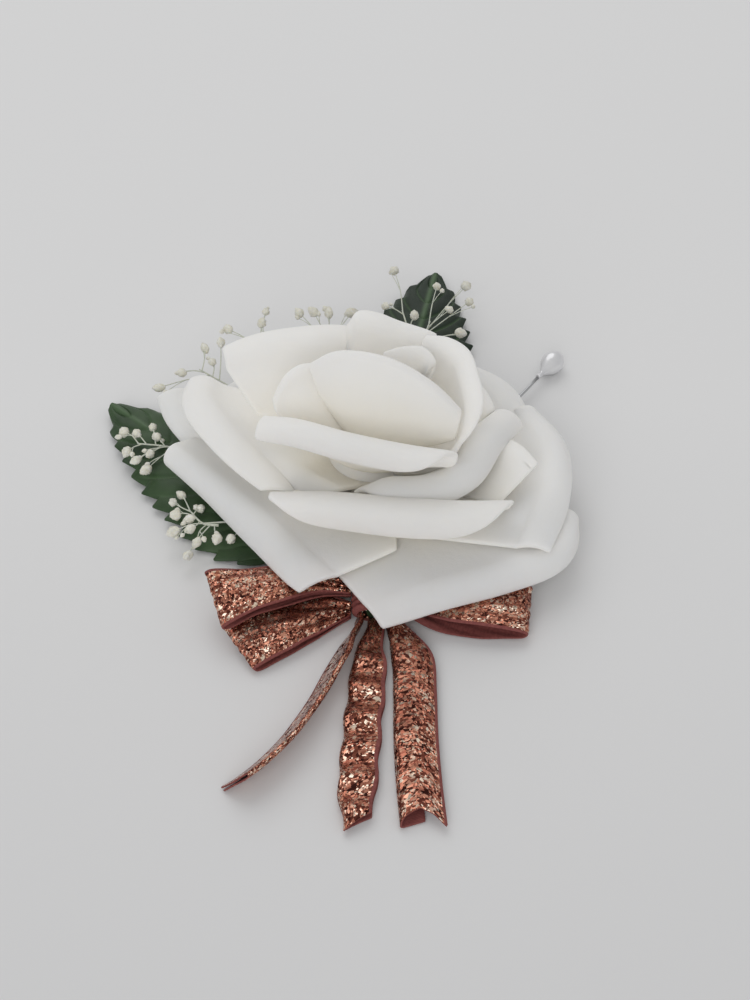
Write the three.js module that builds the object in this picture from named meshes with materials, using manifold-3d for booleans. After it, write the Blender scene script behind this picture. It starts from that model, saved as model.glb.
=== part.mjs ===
// Boutonniere: a white foam rose on two rose leaves, with gypsophila, a glitter ribbon bow and a pin.
// Millimetres, +Z up. It lies on the plane z = 0. The rose faces up and the bow points along -Y.
// Every piece is one closed solid. Sheets (petals, leaves, ribbon) are grids of middle points,
// thickened evenly to both sides.

import * as THREE from 'three';
import * as BufferGeometryUtils from 'three/addons/utils/BufferGeometryUtils.js';
import Module from 'manifold-3d';

const wasm = await Module();
wasm.setup();

// ---------------------------------------------------------------- driving dimensions

const BUD_FOLD = 37.8;        // height at which the front petal of the bud turns inward
const FOAM = 1.0;             // thickness of a foam petal
const PETAL_ACROSS = 6;       // grid steps across a petal, an even number
const SHOULDER = 0.45;        // share of the way from root to crest where a petal's shoulder lies
const BODY_STOPS = [0, SHOULDER / 2, SHOULDER, (SHOULDER + 1) / 2, 1]; // grid lines from root to crest
const LIP_STEP = 56;          // degrees of curl that one grid step of the margin takes

const LEAF_LENGTH = 56;
const LEAF_HALF_WIDTH = 14.5;
const LEAF_THICK = 0.7;
const LEAF_TEETH = 12;        // saw teeth on each side of a leaf

const RIBBON_WIDTH = 12.5;    // half-inch ribbon
const RIBBON_THICK = 0.6;

const STEM_RADIUS = 2.2;      // wires bound in floral tape
const STEM_FLAT = 1.85;       // height of the stem's axis, so that its underside is cut flat
const STEM_FLAT_MIDDLE = -12; // y of the middle of the flat underside
const STEM_END = -33.2;       // y of the cut end, inside the knot
const WOUND_RADIUS = 1.6;     // of the stem inside the knot
const WOUND_AXIS = 2.5;       // height of the stem's axis there
const KNOT_LENGTH = 7;        // along the stem
const KNOT_MIDDLE = -30;      // y of the knot's middle
const KNOT_HALF_WIDTH = 4.3;
const KNOT_HALF_HEIGHT = 2.45;

const PIN_RADIUS = 0.4;
const PEARL_RADIUS = 2.4;
const PEARL_LENGTH = 9.2;

const TWIG_RADIUS = 0.45;     // main stem of a gypsophila spray
const TWIGLET_RADIUS = 0.32;  // stem of one bud
const BUD_RADIUS = 1.35;

const GAP = 0.3;              // clearance between pieces that touch

// ---------------------------------------------------------------- small helpers

const radians = THREE.MathUtils.degToRad;
const vec = (x, y, z) => new THREE.Vector3(x, y, z);
const UP = vec(0, 0, 1);
const compass = (angle) => vec(Math.cos(angle), Math.sin(angle), 0);

function curveThrough(points) {
  return new THREE.CatmullRomCurve3(points.map((point) => vec(...point)));
}

function closedSolid(geometry) {
  geometry.deleteAttribute('normal');
  geometry.deleteAttribute('uv');
  const merged = BufferGeometryUtils.mergeVertices(geometry, 1e-4);
  return new wasm.Manifold(new wasm.Mesh({
    numProp: 3,
    vertProperties: new Float32Array(merged.attributes.position.array),
    triVerts: new Uint32Array(merged.index.array),
  }));
}

// The largest body of a joined solid: hollows sealed by the joining are filled, scraps dropped.
function mainBody(solid) {
  const bodies = solid.decompose();
  bodies.sort((a, b) => b.volume() - a.volume());
  return bodies[0];
}

function geometryOf(solid) {
  const mesh = solid.getMesh();
  const geometry = new THREE.BufferGeometry();
  geometry.setAttribute('position', new THREE.BufferAttribute(new Float32Array(mesh.vertProperties), 3));
  geometry.setIndex(new THREE.BufferAttribute(new Uint32Array(mesh.triVerts), 1));
  return geometry;
}

function joined(geometries) {
  return mainBody(wasm.Manifold.union(geometries.map(closedSolid)));
}

// Everything below z = 0 is cut away, which leaves a flat underside to lie on.
function cutAtSurface(solid) {
  return solid.trimByPlane([0, 0, 1], 0);
}

// A closed sheet: rows[i][j] are middle points, thickness is laid along the grid's normals.
function sheet(rows, thickness) {
  const across = rows.length;
  const along = rows[0].length;
  const positions = [];
  for (const side of [0.5, -0.5]) {
    for (let i = 0; i < across; i += 1) {
      for (let j = 0; j < along; j += 1) {
        const before = rows[Math.max(i - 1, 0)][j];
        const after = rows[Math.min(i + 1, across - 1)][j];
        const below = rows[i][Math.max(j - 1, 0)];
        const above = rows[i][Math.min(j + 1, along - 1)];
        const normal = after.clone().sub(before).cross(above.clone().sub(below)).normalize();
        positions.push(...rows[i][j].clone().addScaledVector(normal, side * thickness).toArray());
      }
    }
  }
  const front = (i, j) => i * along + j;
  const back = (i, j) => across * along + i * along + j;
  const index = [];
  const quad = (a, b, c, d) => index.push(a, b, c, a, c, d);
  for (let i = 0; i < across - 1; i += 1) {
    for (let j = 0; j < along - 1; j += 1) {
      quad(front(i, j), front(i + 1, j), front(i + 1, j + 1), front(i, j + 1));
      index.push(back(i, j), back(i + 1, j + 1), back(i + 1, j));
      index.push(back(i, j), back(i, j + 1), back(i + 1, j + 1));
    }
    quad(back(i, 0), back(i + 1, 0), front(i + 1, 0), front(i, 0));
    quad(front(i, along - 1), front(i + 1, along - 1), back(i + 1, along - 1), back(i, along - 1));
  }
  for (let j = 0; j < along - 1; j += 1) {
    quad(front(0, j), front(0, j + 1), back(0, j + 1), back(0, j));
    quad(back(across - 1, j), back(across - 1, j + 1), front(across - 1, j + 1), front(across - 1, j));
  }
  const geometry = new THREE.BufferGeometry();
  geometry.setAttribute('position', new THREE.Float32BufferAttribute(positions, 3));
  geometry.setIndex(index);
  return geometry;
}

function tube(points, radius, sides, steps) {
  const path = points.length === 2
    ? new THREE.LineCurve3(vec(...points[0]), vec(...points[1]))
    : curveThrough(points);
  const ring = Array.from({ length: sides }, (_, k) => {
    const angle = (2 * Math.PI * (k + 0.5)) / sides;
    return new THREE.Vector2(radius * Math.cos(angle), radius * Math.sin(angle));
  });
  return new THREE.ExtrudeGeometry(new THREE.Shape(ring), { steps, extrudePath: path });
}

// ---------------------------------------------------------------- pieces in the group

const group = new THREE.Group();
group.name = 'boutonniere';

function addPiece(name, geometry, color, roughness, metalness = 0) {
  const material = new THREE.MeshStandardMaterial({ color, roughness, metalness });
  const mesh = new THREE.Mesh(geometry, material);
  mesh.name = name;
  group.add(mesh);
  return mesh;
}

const FOAM_WHITE = 0xe6e3dc;
const LEAF_GREEN = 0x3c4f3c;
const TAPE_GREEN = 0x4f6b45;
const RIBBON_ROSE = 0x9c6a58;
const GYPSOPHILA = 0xd9d8c8;
const STEEL = 0x9a9a9a;
const PEARL = 0xe0e0e2;

// ---------------------------------------------------------------- rose bloom

// Where the petals of each layer are glued: distance from the axis, half the angle that the root
// spans, and the angle at which the sheet leaves the core.
const LAYERS = {
  bud: { radius: 3, span: 60, rise: 50 },
  inner: { radius: 6, span: 70, rise: 35 },
  middle: { radius: 8.5, span: 75, rise: 30 },
  outer: { radius: 10, span: 75, rise: 10 },
};

// One petal. crest: points on the top line of its fold, counter-clockwise round the rose.
// root: height of its root. lean: angle of the sheet at the crest, 90 is upright.
// lip: length of the curled margin. roll: how far the margin curls at the two ends, in degrees.
// cut: how much the margin shortens toward the two corners. shoulders: the points that the two
// sides pass through, where they are wider than a straight line from root to crest.
const PETALS = [
  { layer: 'bud', root: 12, crest: [[-11, -1, 33.3], [-6, -3.5, BUD_FOLD], [2.5, -5.5, BUD_FOLD],
      [10, -6.5, 33.3], [15.3, -6.2, 26.8]],
    lean: 95, lip: 1.2, roll: [-60, -60], cut: [0.2, 0.2], shoulders: [[-10, -3.5, 30], [14.5, -8, 23]] },
  { layer: 'bud', root: 12, crest: [[11.5, 1, 29.5], [12, 2.5, 33], [9.5, 5, 34.5], [5, 6, 34],
      [2, 6, 33.5]],
    lean: 85, lip: 3, roll: [60, 60], cut: [0.2, 0.2], shoulders: [null, null] },
  { layer: 'bud', root: 12, crest: [[-18.8, -2.2, 26], [-16.3, -1.2, 30.4], [-13.8, -0.2, 31.8], [-10, 1.5, 30.8]],
    lean: 92, lip: 1.2, roll: [-60, -60], cut: [0.2, 0.2], shoulders: [null, null] },
  { layer: 'bud', root: 12, crest: [[8.5, 3.5, 30], [0, 6.5, 31], [-8, 3.5, 30]],
    lean: 88, lip: 3, roll: [50, 50], cut: [0.3, 0.3], shoulders: [null, null] },
  { layer: 'bud', root: 12, crest: [[-6, 2, 30.5], [0, 1, 32], [5.5, 3, 31]],
    lean: 88, lip: 2, roll: [40, 40], cut: [0.3, 0.3], shoulders: [null, null] },

  { layer: 'inner', root: 13, crest: [[-20.5, -10, 29], [-14.5, -12.5, 30.5], [-5.5, -16, 30.5],
      [4.5, -18, 29.5], [14.5, -18, 27.5]],
    lean: 80, lip: 8, roll: [215, 205], cut: [0.2, 0.95], shoulders: [null, null] },
  { layer: 'inner', root: 13, crest: [[-6, 16.5, 30], [-14.5, 14, 31], [-21.5, 12.5, 31],
      [-29, 11.5, 29.5]],
    lean: 75, lip: 5, roll: [80, 70], cut: [0.2, 0.2], shoulders: [null, [-22.5, 3.5, 19]] },
  { layer: 'inner', root: 12.5, crest: [[11.5, 13, 31], [5, 14, 32.5], [0.5, 15, 34], [-3, 16, 34],
      [-5, 16, 32]],
    lean: 80, lip: 4, roll: [80, 70], cut: [0.2, 0.3], shoulders: [null, null] },
  { layer: 'inner', root: 12, crest: [[16, -13, 23], [19, -9.5, 26.5], [20, -6, 30], [19, -0.5, 32],
      [17.5, 5, 33], [14, 9, 33], [10.5, 11, 32.5]],
    lean: 82, lip: 4, roll: [70, 80], cut: [0.9, 0.3], shoulders: [null, null] },

  { layer: 'middle', root: 11.5, crest: [[-34.5, 15.5, 17.5], [-34.5, 9.5, 18], [-28.5, -2, 17.5],
      [-20, -12.5, 14.5]],
    lean: 45, lip: 7, roll: [115, 55], cut: [0.3, 0], shoulders: [null, [-7, -14.5, 16]] },
  { layer: 'middle', root: 11.5, crest: [[-4, -16.5, 16], [2, -17.5, 20], [10, -16, 19.5],
      [16.5, -11.5, 19.5], [21, -4, 21], [25.5, 4, 18.5]],
    lean: 75, lip: 9, roll: [150, 170], cut: [0.9, 0.1], shoulders: [null, null] },
  { layer: 'middle', root: 9, crest: [[-19, -19.5, 18.5], [-8, -20.5, 19.5], [3.5, -22.5, 20],
      [15.5, -22.5, 19], [25.5, -20.5, 17]],
    lean: 70, lip: 10.5, roll: [210, 160], cut: [0.7, 0.8], shoulders: [null, null] },
  { layer: 'middle', root: 10.5, crest: [[30.3, -7.5, 15.9], [27.6, -4.4, 17.1], [24.2, -2, 17.4], [20, 2, 17]],
    lean: 30, lip: 1.5, roll: [30, 30], cut: [0, 0.3], shoulders: [[22.8, -15.3, 13.3], null] },
  { layer: 'middle', root: 10, crest: [[23, 5.5, 18], [20, 10.5, 19], [14, 17.5, 19]],
    lean: 60, lip: 4, roll: [70, 80], cut: [0.2, 0.3], shoulders: [null, null] },
  { layer: 'middle', root: 10.5, crest: [[19, 18, 18], [2, 25.5, 19], [-17, 21, 18]],
    lean: 55, lip: 7, roll: [100, 100], cut: [0.2, 0.3], shoulders: [null, null] },

  { layer: 'outer', root: 10, crest: [[-39.5, 3, 10.5], [-28.5, -8, 10.5], [-17.5, -20, 10],
      [-10, -31, 9.5]],
    lean: 20, lip: 7.5, roll: [190, 45], cut: [0.2, 0], shoulders: [null, [3.5, -24, 10]] },
  { layer: 'outer', root: 7.6, crest: [[-1, -35.5, 7], [10, -31, 8], [23, -27, 9], [31.5, -23.5, 9.5],
      [34.5, -19.5, 9.5], [35.5, -13.5, 9.5]],
    lean: 10, lip: 6, roll: [40, 120], cut: [0, 0.3], shoulders: [[-10.5, -22, 7.6], null] },
  { layer: 'outer', root: 8.8, crest: [[29, -24.3, 11.3], [33, -12.5, 12.5], [34, 2.5, 12.5], [29.5, 12.5, 12]],
    lean: 30, lip: 6, roll: [60, 110], cut: [0, 0.3], shoulders: [[7.5, -21.1, 10.8], null] },
  { layer: 'outer', root: 8, crest: [[-41.5, 20, 10], [-38.5, 13, 10], [-29, 0.5, 9]],
    lean: 18, lip: 5, roll: [60, 70], cut: [0.1, 0.1], shoulders: [null, null] },
  { layer: 'outer', root: 7.8, crest: [[28, 11, 11.5], [24, 20.5, 11.5], [10, 30.5, 10.5]],
    lean: 25, lip: 6, roll: [80, 80], cut: [0.1, 0.3], shoulders: [null, null] },
  { layer: 'outer', root: 7.6, crest: [[-8, 31, 9], [-23, 25, 9.5], [-34, 15, 9]],
    lean: 25, lip: 7, roll: [80, 80], cut: [0.1, 0.3], shoulders: [null, null] },
  { layer: 'outer', root: 8, crest: [[20, 27, 8.5], [4, 33, 9], [-14, 30, 8.5]],
    lean: 25, lip: 7, roll: [80, 80], cut: [0.1, 0.3], shoulders: [null, null] },
];

// A cubic curve from a to b, leaving along startPull and arriving along endPull.
function hermite(a, startPull, b, endPull, t) {
  return vec(0, 0, 0)
    .addScaledVector(a, 2 * t ** 3 - 3 * t ** 2 + 1)
    .addScaledVector(startPull, t ** 3 - 2 * t ** 2 + t)
    .addScaledVector(b, 3 * t ** 2 - 2 * t ** 3)
    .addScaledVector(endPull, t ** 3 - t ** 2);
}

// The way from a to b by straight lines over the shoulder, at share t of the way up.
function bentAt(a, shoulder, b, t) {
  return t < SHOULDER
    ? a.clone().lerp(shoulder, t / SHOULDER)
    : shoulder.clone().lerp(b, (t - SHOULDER) / (1 - SHOULDER));
}

// One row's frame at u, from -1 to 1 across the petal: its fold at the crest, its root and its pulls.
function petalLine(petal, crestLine, rootAngle, u) {
  const layer = LAYERS[petal.layer];
  const lean = radians(petal.lean);
  const rise = radians(layer.rise);
  const share = (u + 1) / 2;
  const top = crestLine.getPointAt(share);
  const forward = crestLine.getTangentAt(share).setZ(0).normalize();
  const outward = vec(forward.y, -forward.x, 0);
  const shoulder = petal.shoulders[u < 0 ? 0 : 1];
  if (shoulder) {
    const away = crestLine.getPoint(u < 0 ? 0 : 1).sub(vec(...shoulder)).setZ(0).normalize();
    outward.lerp(away, Math.abs(u) ** 3 * Math.cos(lean)).normalize();
  }
  const roll = radians(THREE.MathUtils.lerp(petal.roll[0], petal.roll[1], share));
  const curl = petal.lip / roll;
  const fold = top.clone()
    .addScaledVector(outward, -curl * Math.sin(lean))
    .addScaledVector(UP, -curl * (1 - Math.cos(lean)));
  const angle = rootAngle + radians(layer.span) * u;
  const root = compass(angle).multiplyScalar(layer.radius).setZ(petal.root);
  const reach = fold.distanceTo(root);
  const leaving = compass(angle).multiplyScalar(Math.cos(rise) * 1.1 * reach)
    .setZ(Math.sin(rise) * 1.1 * reach);
  const arriving = outward.clone().multiplyScalar(Math.cos(lean) * 0.9 * reach)
    .setZ(Math.sin(lean) * 0.9 * reach);
  const bodyAt = (t) => hermite(root, leaving, fold, arriving, t);
  return { outward, roll, curl, root, fold, bodyAt };
}

// The middle surface of a petal, as rows from its first side to its second.
// Each row climbs from the root to the crest, then follows a circular curl to the free margin.
function petalRows(petal) {
  const crestLine = curveThrough(petal.crest);
  const middle = crestLine.getPointAt(0.5);
  const chord = crestLine.getPoint(1).sub(crestLine.getPoint(0)).setZ(0).normalize();
  const faceAngle = Math.atan2(-chord.x, chord.y);
  const middleAngle = Math.atan2(middle.y, middle.x);
  const full = 2 * Math.PI;
  const turn = THREE.MathUtils.euclideanModulo(faceAngle - middleAngle + Math.PI, full) - Math.PI;
  const rootAngle = middleAngle + turn / 2;
  const lean = radians(petal.lean);
  const lipSteps = Math.max(2, Math.round(Math.max(...petal.roll) / LIP_STEP));
  const pushes = petal.shoulders.map((shoulder, end) => {
    const { root, fold, bodyAt } = petalLine(petal, crestLine, rootAngle, 2 * end - 1);
    return (t) => (shoulder ? bentAt(root, vec(...shoulder), fold, t).sub(bodyAt(t)) : vec(0, 0, 0));
  });

  const rows = [];
  for (let i = 0; i <= PETAL_ACROSS; i += 1) {
    const u = (2 * i) / PETAL_ACROSS - 1;
    const end = u < 0 ? 0 : 1;
    const { outward, roll, curl, fold, bodyAt } = petalLine(petal, crestLine, rootAngle, u);
    const row = [];
    for (const t of BODY_STOPS) {
      row.push(bodyAt(t).addScaledVector(pushes[end](t), u ** 2));
    }
    const lipShare = 1 - petal.cut[end] * Math.abs(u) ** 3;
    for (let j = 1; j <= lipSteps; j += 1) {
      const tilt = lean - (j / lipSteps) * lipShare * roll;
      row.push(fold.clone()
        .addScaledVector(outward, curl * (Math.sin(lean) - Math.sin(tilt)))
        .addScaledVector(UP, curl * (Math.cos(tilt) - Math.cos(lean))));
    }
    rows.push(row);
  }
  return rows;
}

// The hidden core that all petals are glued to, as a turned profile (radius, height).
const CORE_PROFILE = [
  [0, 6.4], [7, 6.6], [10.8, 7.6], [11.2, 9.5], [10, 11.5], [7.5, 14], [4, 16.5], [0, 17.5],
];

function turned(profile, sides) {
  const geometry = new THREE.LatheGeometry(profile.map(([r, z]) => new THREE.Vector2(r, z)), sides);
  return geometry.rotateX(Math.PI / 2);
}

const petalSheets = PETALS.map((petal) => sheet(petalRows(petal), FOAM));
addPiece('rose_bloom', geometryOf(joined([turned(CORE_PROFILE, 12), ...petalSheets])), FOAM_WHITE, 0.9);

// ---------------------------------------------------------------- calyx and stem

const CUP_PROFILE = [[0, 4.9], [3.2, 4.9], [8, 5.2], [10, 6.4], [9.8, 6.8], [7, 6.15], [0, 6.05]];
const SEPALS = 5;
const SEPAL_REACH = 14;

function sepal(angle) {
  const side = compass(angle + Math.PI / 2);
  const rows = [-1, 0, 1].map((u) => [6.5, 9, 11.5, SEPAL_REACH].map((r, j) => {
    const halfWidth = [3, 2.8, 1.9, 0.4][j];
    return compass(angle).multiplyScalar(r).addScaledVector(side, u * halfWidth).setZ(5.6 + 0.01 * r);
  }));
  return sheet(rows, 0.7);
}

const sepals = Array.from({ length: SEPALS }, (_, k) => sepal((2 * Math.PI * (k + 0.25)) / SEPALS));
addPiece('rose_calyx', geometryOf(joined([turned(CUP_PROFILE, 20), ...sepals])), TAPE_GREEN, 0.7);

// The stem leaves the calyx downward, bends within its own thickness and lies along -Y.
// Its last stretch is wound thinner and lifted, where the knot of the bow passes under it.
const STEM_BEND = STEM_FLAT + 1.05;
const STEM_TOP = 4.6;
const STEM_SECTIONS = [
  { y: 0, z: STEM_TOP, tilt: 90, radius: STEM_RADIUS },
  { y: 0, z: STEM_TOP - 0.4, tilt: 90, radius: STEM_RADIUS },
  { y: -1.1, z: STEM_FLAT + 0.75, tilt: 45, radius: STEM_RADIUS },
  { y: -STEM_BEND, z: STEM_FLAT, tilt: 0, radius: STEM_RADIUS },
  { y: STEM_FLAT_MIDDLE, z: STEM_FLAT, tilt: 0, radius: STEM_RADIUS },
  { y: -23, z: STEM_FLAT, tilt: 0, radius: STEM_RADIUS },
  { y: -26, z: WOUND_AXIS, tilt: 0, radius: WOUND_RADIUS },
  { y: STEM_END, z: WOUND_AXIS, tilt: 0, radius: WOUND_RADIUS },
];

function loft(sections, sides) {
  const positions = [];
  for (const { y, z, tilt, radius } of sections) {
    const lift = vec(0, Math.sin(radians(tilt)), Math.cos(radians(tilt)));
    for (let k = 0; k < sides; k += 1) {
      const angle = (2 * Math.PI * k) / sides;
      const point = vec(radius * Math.cos(angle), y, z).addScaledVector(lift, radius * Math.sin(angle));
      positions.push(...point.toArray());
    }
  }
  const index = [];
  for (let s = 0; s < sections.length - 1; s += 1) {
    for (let k = 0; k < sides; k += 1) {
      const a = s * sides + k;
      const b = s * sides + ((k + 1) % sides);
      index.push(a, b, b + sides, a, b + sides, a + sides);
    }
  }
  const lastRing = (sections.length - 1) * sides;
  for (let k = 1; k < sides - 1; k += 1) {
    index.push(0, k + 1, k);
    index.push(lastRing, lastRing + k, lastRing + k + 1);
  }
  const geometry = new THREE.BufferGeometry();
  geometry.setAttribute('position', new THREE.Float32BufferAttribute(positions, 3));
  geometry.setIndex(index);
  return geometry;
}

const stem = cutAtSurface(closedSolid(loft(STEM_SECTIONS, 16)));
addPiece('stem_bundle', geometryOf(mainBody(stem)), TAPE_GREEN, 0.8);

// ---------------------------------------------------------------- leaves

// A rose leaf from base to tip: an arched blade with a saw-toothed margin and a wired stalk.
// base and tip are points [x, y]; arch is the height of the midrib half way; stalk is its route.
function leaf(name, { base, tip, arch, droop, stalk }) {
  const start = vec(base[0], base[1], 0);
  const along = vec(tip[0], tip[1], 0).sub(start);
  const side = vec(along.y, -along.x, 0).normalize();
  const stations = 2 * LEAF_TEETH;
  const rows = [-1, -0.5, 0, 0.5, 1].map((u) => {
    const row = [];
    for (let j = 0; j <= stations; j += 1) {
      const t = j / stations;
      const swell = Math.sin(Math.PI * (0.04 + 0.96 * t ** 0.55)) ** 0.6;
      const fullness = Math.min(swell, 2.9 * (1.01 - t));
      const margin = Math.abs(u) === 1;
      const notch = margin && j % 2 === 0 ? 0.87 : 1;
      const forward = margin && j % 2 === 1 ? 0.012 : 0;
      const halfWidth = Math.max(LEAF_HALF_WIDTH * fullness * notch, 0.35);
      const rib = THREE.MathUtils.lerp(base[2], tip[2], t) + arch * Math.sin(Math.PI * t);
      const height = Math.max(rib - droop * u * u * fullness, LEAF_THICK / 2 + 0.02);
      row.push(start.clone().addScaledVector(along, t + forward)
        .addScaledVector(side, u * halfWidth).setZ(height));
    }
    return row;
  });
  const blade = sheet(rows, LEAF_THICK);
  const solid = joined([blade, tube(stalk, 0.8, 8, 4)]);
  addPiece(name, geometryOf(cutAtSurface(solid)), LEAF_GREEN, 0.45);
}

leaf('leaf_left', {
  base: [-15, -14.3, 2.2],
  tip: [-15 - LEAF_LENGTH * 0.72, -14.3 + LEAF_LENGTH * 0.694, 2],
  arch: 1.2,
  droop: 2,
  stalk: [[-16.8, -12.6, 2.3], [-9, -18.6, 2], [-STEM_RADIUS - GAP - 0.1, -20, 1.9]],
});
leaf('leaf_back', {
  base: [3.8, 15.4, 2.4],
  tip: [3.8 + LEAF_LENGTH * 0.182, 15.4 + LEAF_LENGTH * 0.983, 1.7],
  arch: 1.2,
  droop: 2,
  stalk: [[4.1, 17.4, 2.5], [1, 8, 2.4], [0.2, STEM_RADIUS + GAP + 0.1, 2.3]],
});

// ---------------------------------------------------------------- gypsophila

// A spray: main stems as routes, and buds, each on a thin stem that leaves a main stem at
// a share of its length. The bud sits at the end of its stem.
function spray(name, trunks, buds) {
  const curves = trunks.map(curveThrough);
  const pieces = trunks.map((points) => tube(points, TWIG_RADIUS, 5, 8));
  for (const [trunk, share, x, y, z] of buds) {
    const fork = curves[trunk].getPointAt(share);
    const bud = vec(x, y, z);
    const elbow = fork.clone().lerp(bud, 0.5).add(vec(0, 0, 0.4));
    pieces.push(tube([fork.toArray(), elbow.toArray(), bud.toArray()], TWIGLET_RADIUS, 4, 3));
    pieces.push(new THREE.SphereGeometry(BUD_RADIUS, 6, 4).translate(x, y, z));
  }
  addPiece(name, geometryOf(joined(pieces)), GYPSOPHILA, 0.8);
}

spray('gypsophila_left_upper', [
  [[-41.5, 9, 4.7], [-30, 4, 4.6], [-16, -2, 4.2], [-STEM_RADIUS - 0.35, -6, 2.6]],
  [[-48, 9.5, 5.2], [-41.5, 9, 4.7], [-36, 6.8, 4.65]],
], [
  [1, 0.02, -51.2, 13.1, 5], [1, 0.15, -48.5, 12.6, 5.2], [1, 0.3, -45.4, 14.2, 5.4],
  [1, 0.45, -44.4, 11.6, 5.2], [1, 0.5, -45.2, 6.6, 5], [1, 0.08, -50, 7.4, 4.8],
  [1, 0.4, -47.9, 4.9, 4.8], [1, 0.6, -45.6, 2.2, 4.8],
]);
spray('gypsophila_left_lower', [
  [[-33, -12.5, 4.8], [-26, -12, 4.7], [-14, -13, 4.4], [-STEM_RADIUS - 0.35, -15, 2.6]],
  [[-36, -9, 5], [-33, -12.5, 4.8], [-30, -13, 4.75]],
], [
  [1, 0.05, -38, -4.4, 4.5], [1, 0.1, -39.4, -6.6, 4.6], [1, 0.2, -33.8, -8.1, 4.4],
  [1, 0.25, -38.6, -10, 4.6], [1, 0.4, -35.8, -11.4, 4.8], [1, 0.5, -35.4, -14, 4.8],
  [1, 0.6, -38.6, -14.4, 4.4], [1, 0.7, -33.9, -17.2, 4.3], [1, 0.9, -30.1, -16.2, 4.3],
  [0, 0.3, -27.4, -16.4, 4.5], [1, 0.8, -35.4, -19.6, 3.4],
]);
spray('gypsophila_back_left', [
  [[-25, 38, 7.6], [-20, 31, 5.1], [-9, 14, 4.4], [-1.9, STEM_RADIUS + 0.9, 3.4]],
  [[-10.5, 41.5, 8], [-10, 34, 5.1], [-9.5, 24, 4.8], [-9, 14, 4.4]],
  [[-37, 30, 7.4], [-29, 26, 5.1], [-18, 18, 4.7], [-9, 14, 4.4]],
], [
  [0, 0.04, -31.7, 41.6, 9], [0, 0.02, -23.8, 47.6, 9], [0, 0.1, -24.5, 43.8, 9],
  [1, 0.1, -16.5, 46, 10], [1, 0.03, -13.5, 46.4, 10], [1, 0.02, -10, 45.8, 10.2],
  [1, 0.15, -5, 46, 10], [2, 0.02, -36.2, 35.6, 8.6], [2, 0.1, -34.4, 31.6, 8.2],
  [2, 0.15, -33, 37.8, 8.4], [2, 0.04, -40.5, 28, 8.2], [2, 0.08, -45, 24.4, 7.2],
]);
spray('gypsophila_back', [
  [[12, 46, 7.6], [9.5, 39, 5.3], [6, 22, 4.9], [1.4, STEM_RADIUS + 0.9, 3.5]],
  [[6, 50, 7.4], [7.5, 44, 6.2], [9.5, 39, 5.3]],
], [
  [0, 0.02, 13.9, 59, 7.2], [0, 0.04, 16.5, 50, 7.6], [1, 0.5, 8.6, 47.4, 8.2],
  [1, 0.1, 2.2, 51.6, 7.4], [0, 0.12, 18.6, 42.4, 7.2], [1, 0.04, 4.4, 66, 6.4],
  [0, 0.06, 20.6, 60, 6.6], [0, 0.08, 21, 54, 6.8],
]);

// ---------------------------------------------------------------- bow

// The knot: a band of ribbon round the stem, with the stem's room left open.
function knotBand() {
  const outline = new THREE.Shape();
  outline.absellipse(0, KNOT_HALF_HEIGHT, KNOT_HALF_WIDTH, KNOT_HALF_HEIGHT, 0, 2 * Math.PI);
  const room = new THREE.Path();
  room.absellipse(0, WOUND_AXIS, WOUND_RADIUS + GAP, WOUND_RADIUS + GAP, 0, 2 * Math.PI, true);
  outline.holes.push(room);
  const options = { depth: KNOT_LENGTH, steps: 1, bevelEnabled: false, curveSegments: 10 };
  const band = new THREE.ExtrudeGeometry(outline, options);
  return band.rotateX(Math.PI / 2).translate(0, KNOT_MIDDLE + KNOT_LENGTH / 2, 0);
}
addPiece('bow_knot', geometryOf(closedSolid(knotBand())), RIBBON_ROSE, 0.5, 0.3);

// A loop of the bow, drawn by its far and near edge, out on top and back underneath.
function loop(name, far, near) {
  const steps = 26;
  const edges = [far, near].map(curveThrough);
  const stations = Array.from({ length: steps + 1 }, (_, k) => k / steps);
  const rows = edges.map((edge) => stations.map((share) => edge.getPoint(share)));
  addPiece(name, geometryOf(closedSolid(sheet(rows, RIBBON_THICK))), RIBBON_ROSE, 0.5, 0.3);
}

const KNOT_SIDE = KNOT_HALF_WIDTH + GAP;
loop('bow_loop_left_upper',
  [[-KNOT_SIDE, -26.9, 3.9], [-11, -24.9, 5.4], [-18, -24.8, 6], [-24.5, -26.6, 7.15], [-30.2, -28.6, 9.2],
    [-30.8, -28.8, 8.8], [-29.6, -28.8, 7.6], [-24, -26.8, 5.6], [-17.5, -25.2, 4.3], [-11, -25.6, 3.6],
    [-KNOT_SIDE, -27.2, 2.7]],
  [[-KNOT_SIDE, -29.5, 4.1], [-10, -30.2, 5.4], [-15.4, -33, 6.6], [-21, -35.7, 6.9], [-26.7, -38.7, 5.8],
    [-27.3, -38.9, 5.1], [-26.2, -38.3, 4.5], [-21.3, -35.4, 4.9], [-15.6, -32.8, 4.4], [-10, -30.2, 3.7],
    [-KNOT_SIDE, -29.3, 2.9]]);
loop('bow_loop_left_lower',
  [[-KNOT_SIDE, -30, 2.2], [-10, -28.4, 2.7], [-15.5, -29.8, 3.1], [-21, -32.4, 3.4], [-26.8, -36.2, 3.2],
    [-27.4, -36.7, 2.6], [-26.4, -36.3, 2], [-21, -32.2, 1.5], [-15.5, -29.6, 1.1], [-10, -28.4, 1],
    [-KNOT_SIDE, -30.2, 1.1]],
  [[-KNOT_SIDE, -33.3, 2.3], [-10, -37.6, 2.5], [-13.5, -40.1, 2.5], [-17, -42.4, 2.2], [-20.9, -44.8, 1.7],
    [-21.5, -45.2, 1.2], [-20.8, -44.9, 0.6], [-17, -42.3, 0.45], [-13.5, -39.8, 0.5], [-10, -37.2, 0.6],
    [-KNOT_SIDE, -33.1, 1]]);
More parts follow.
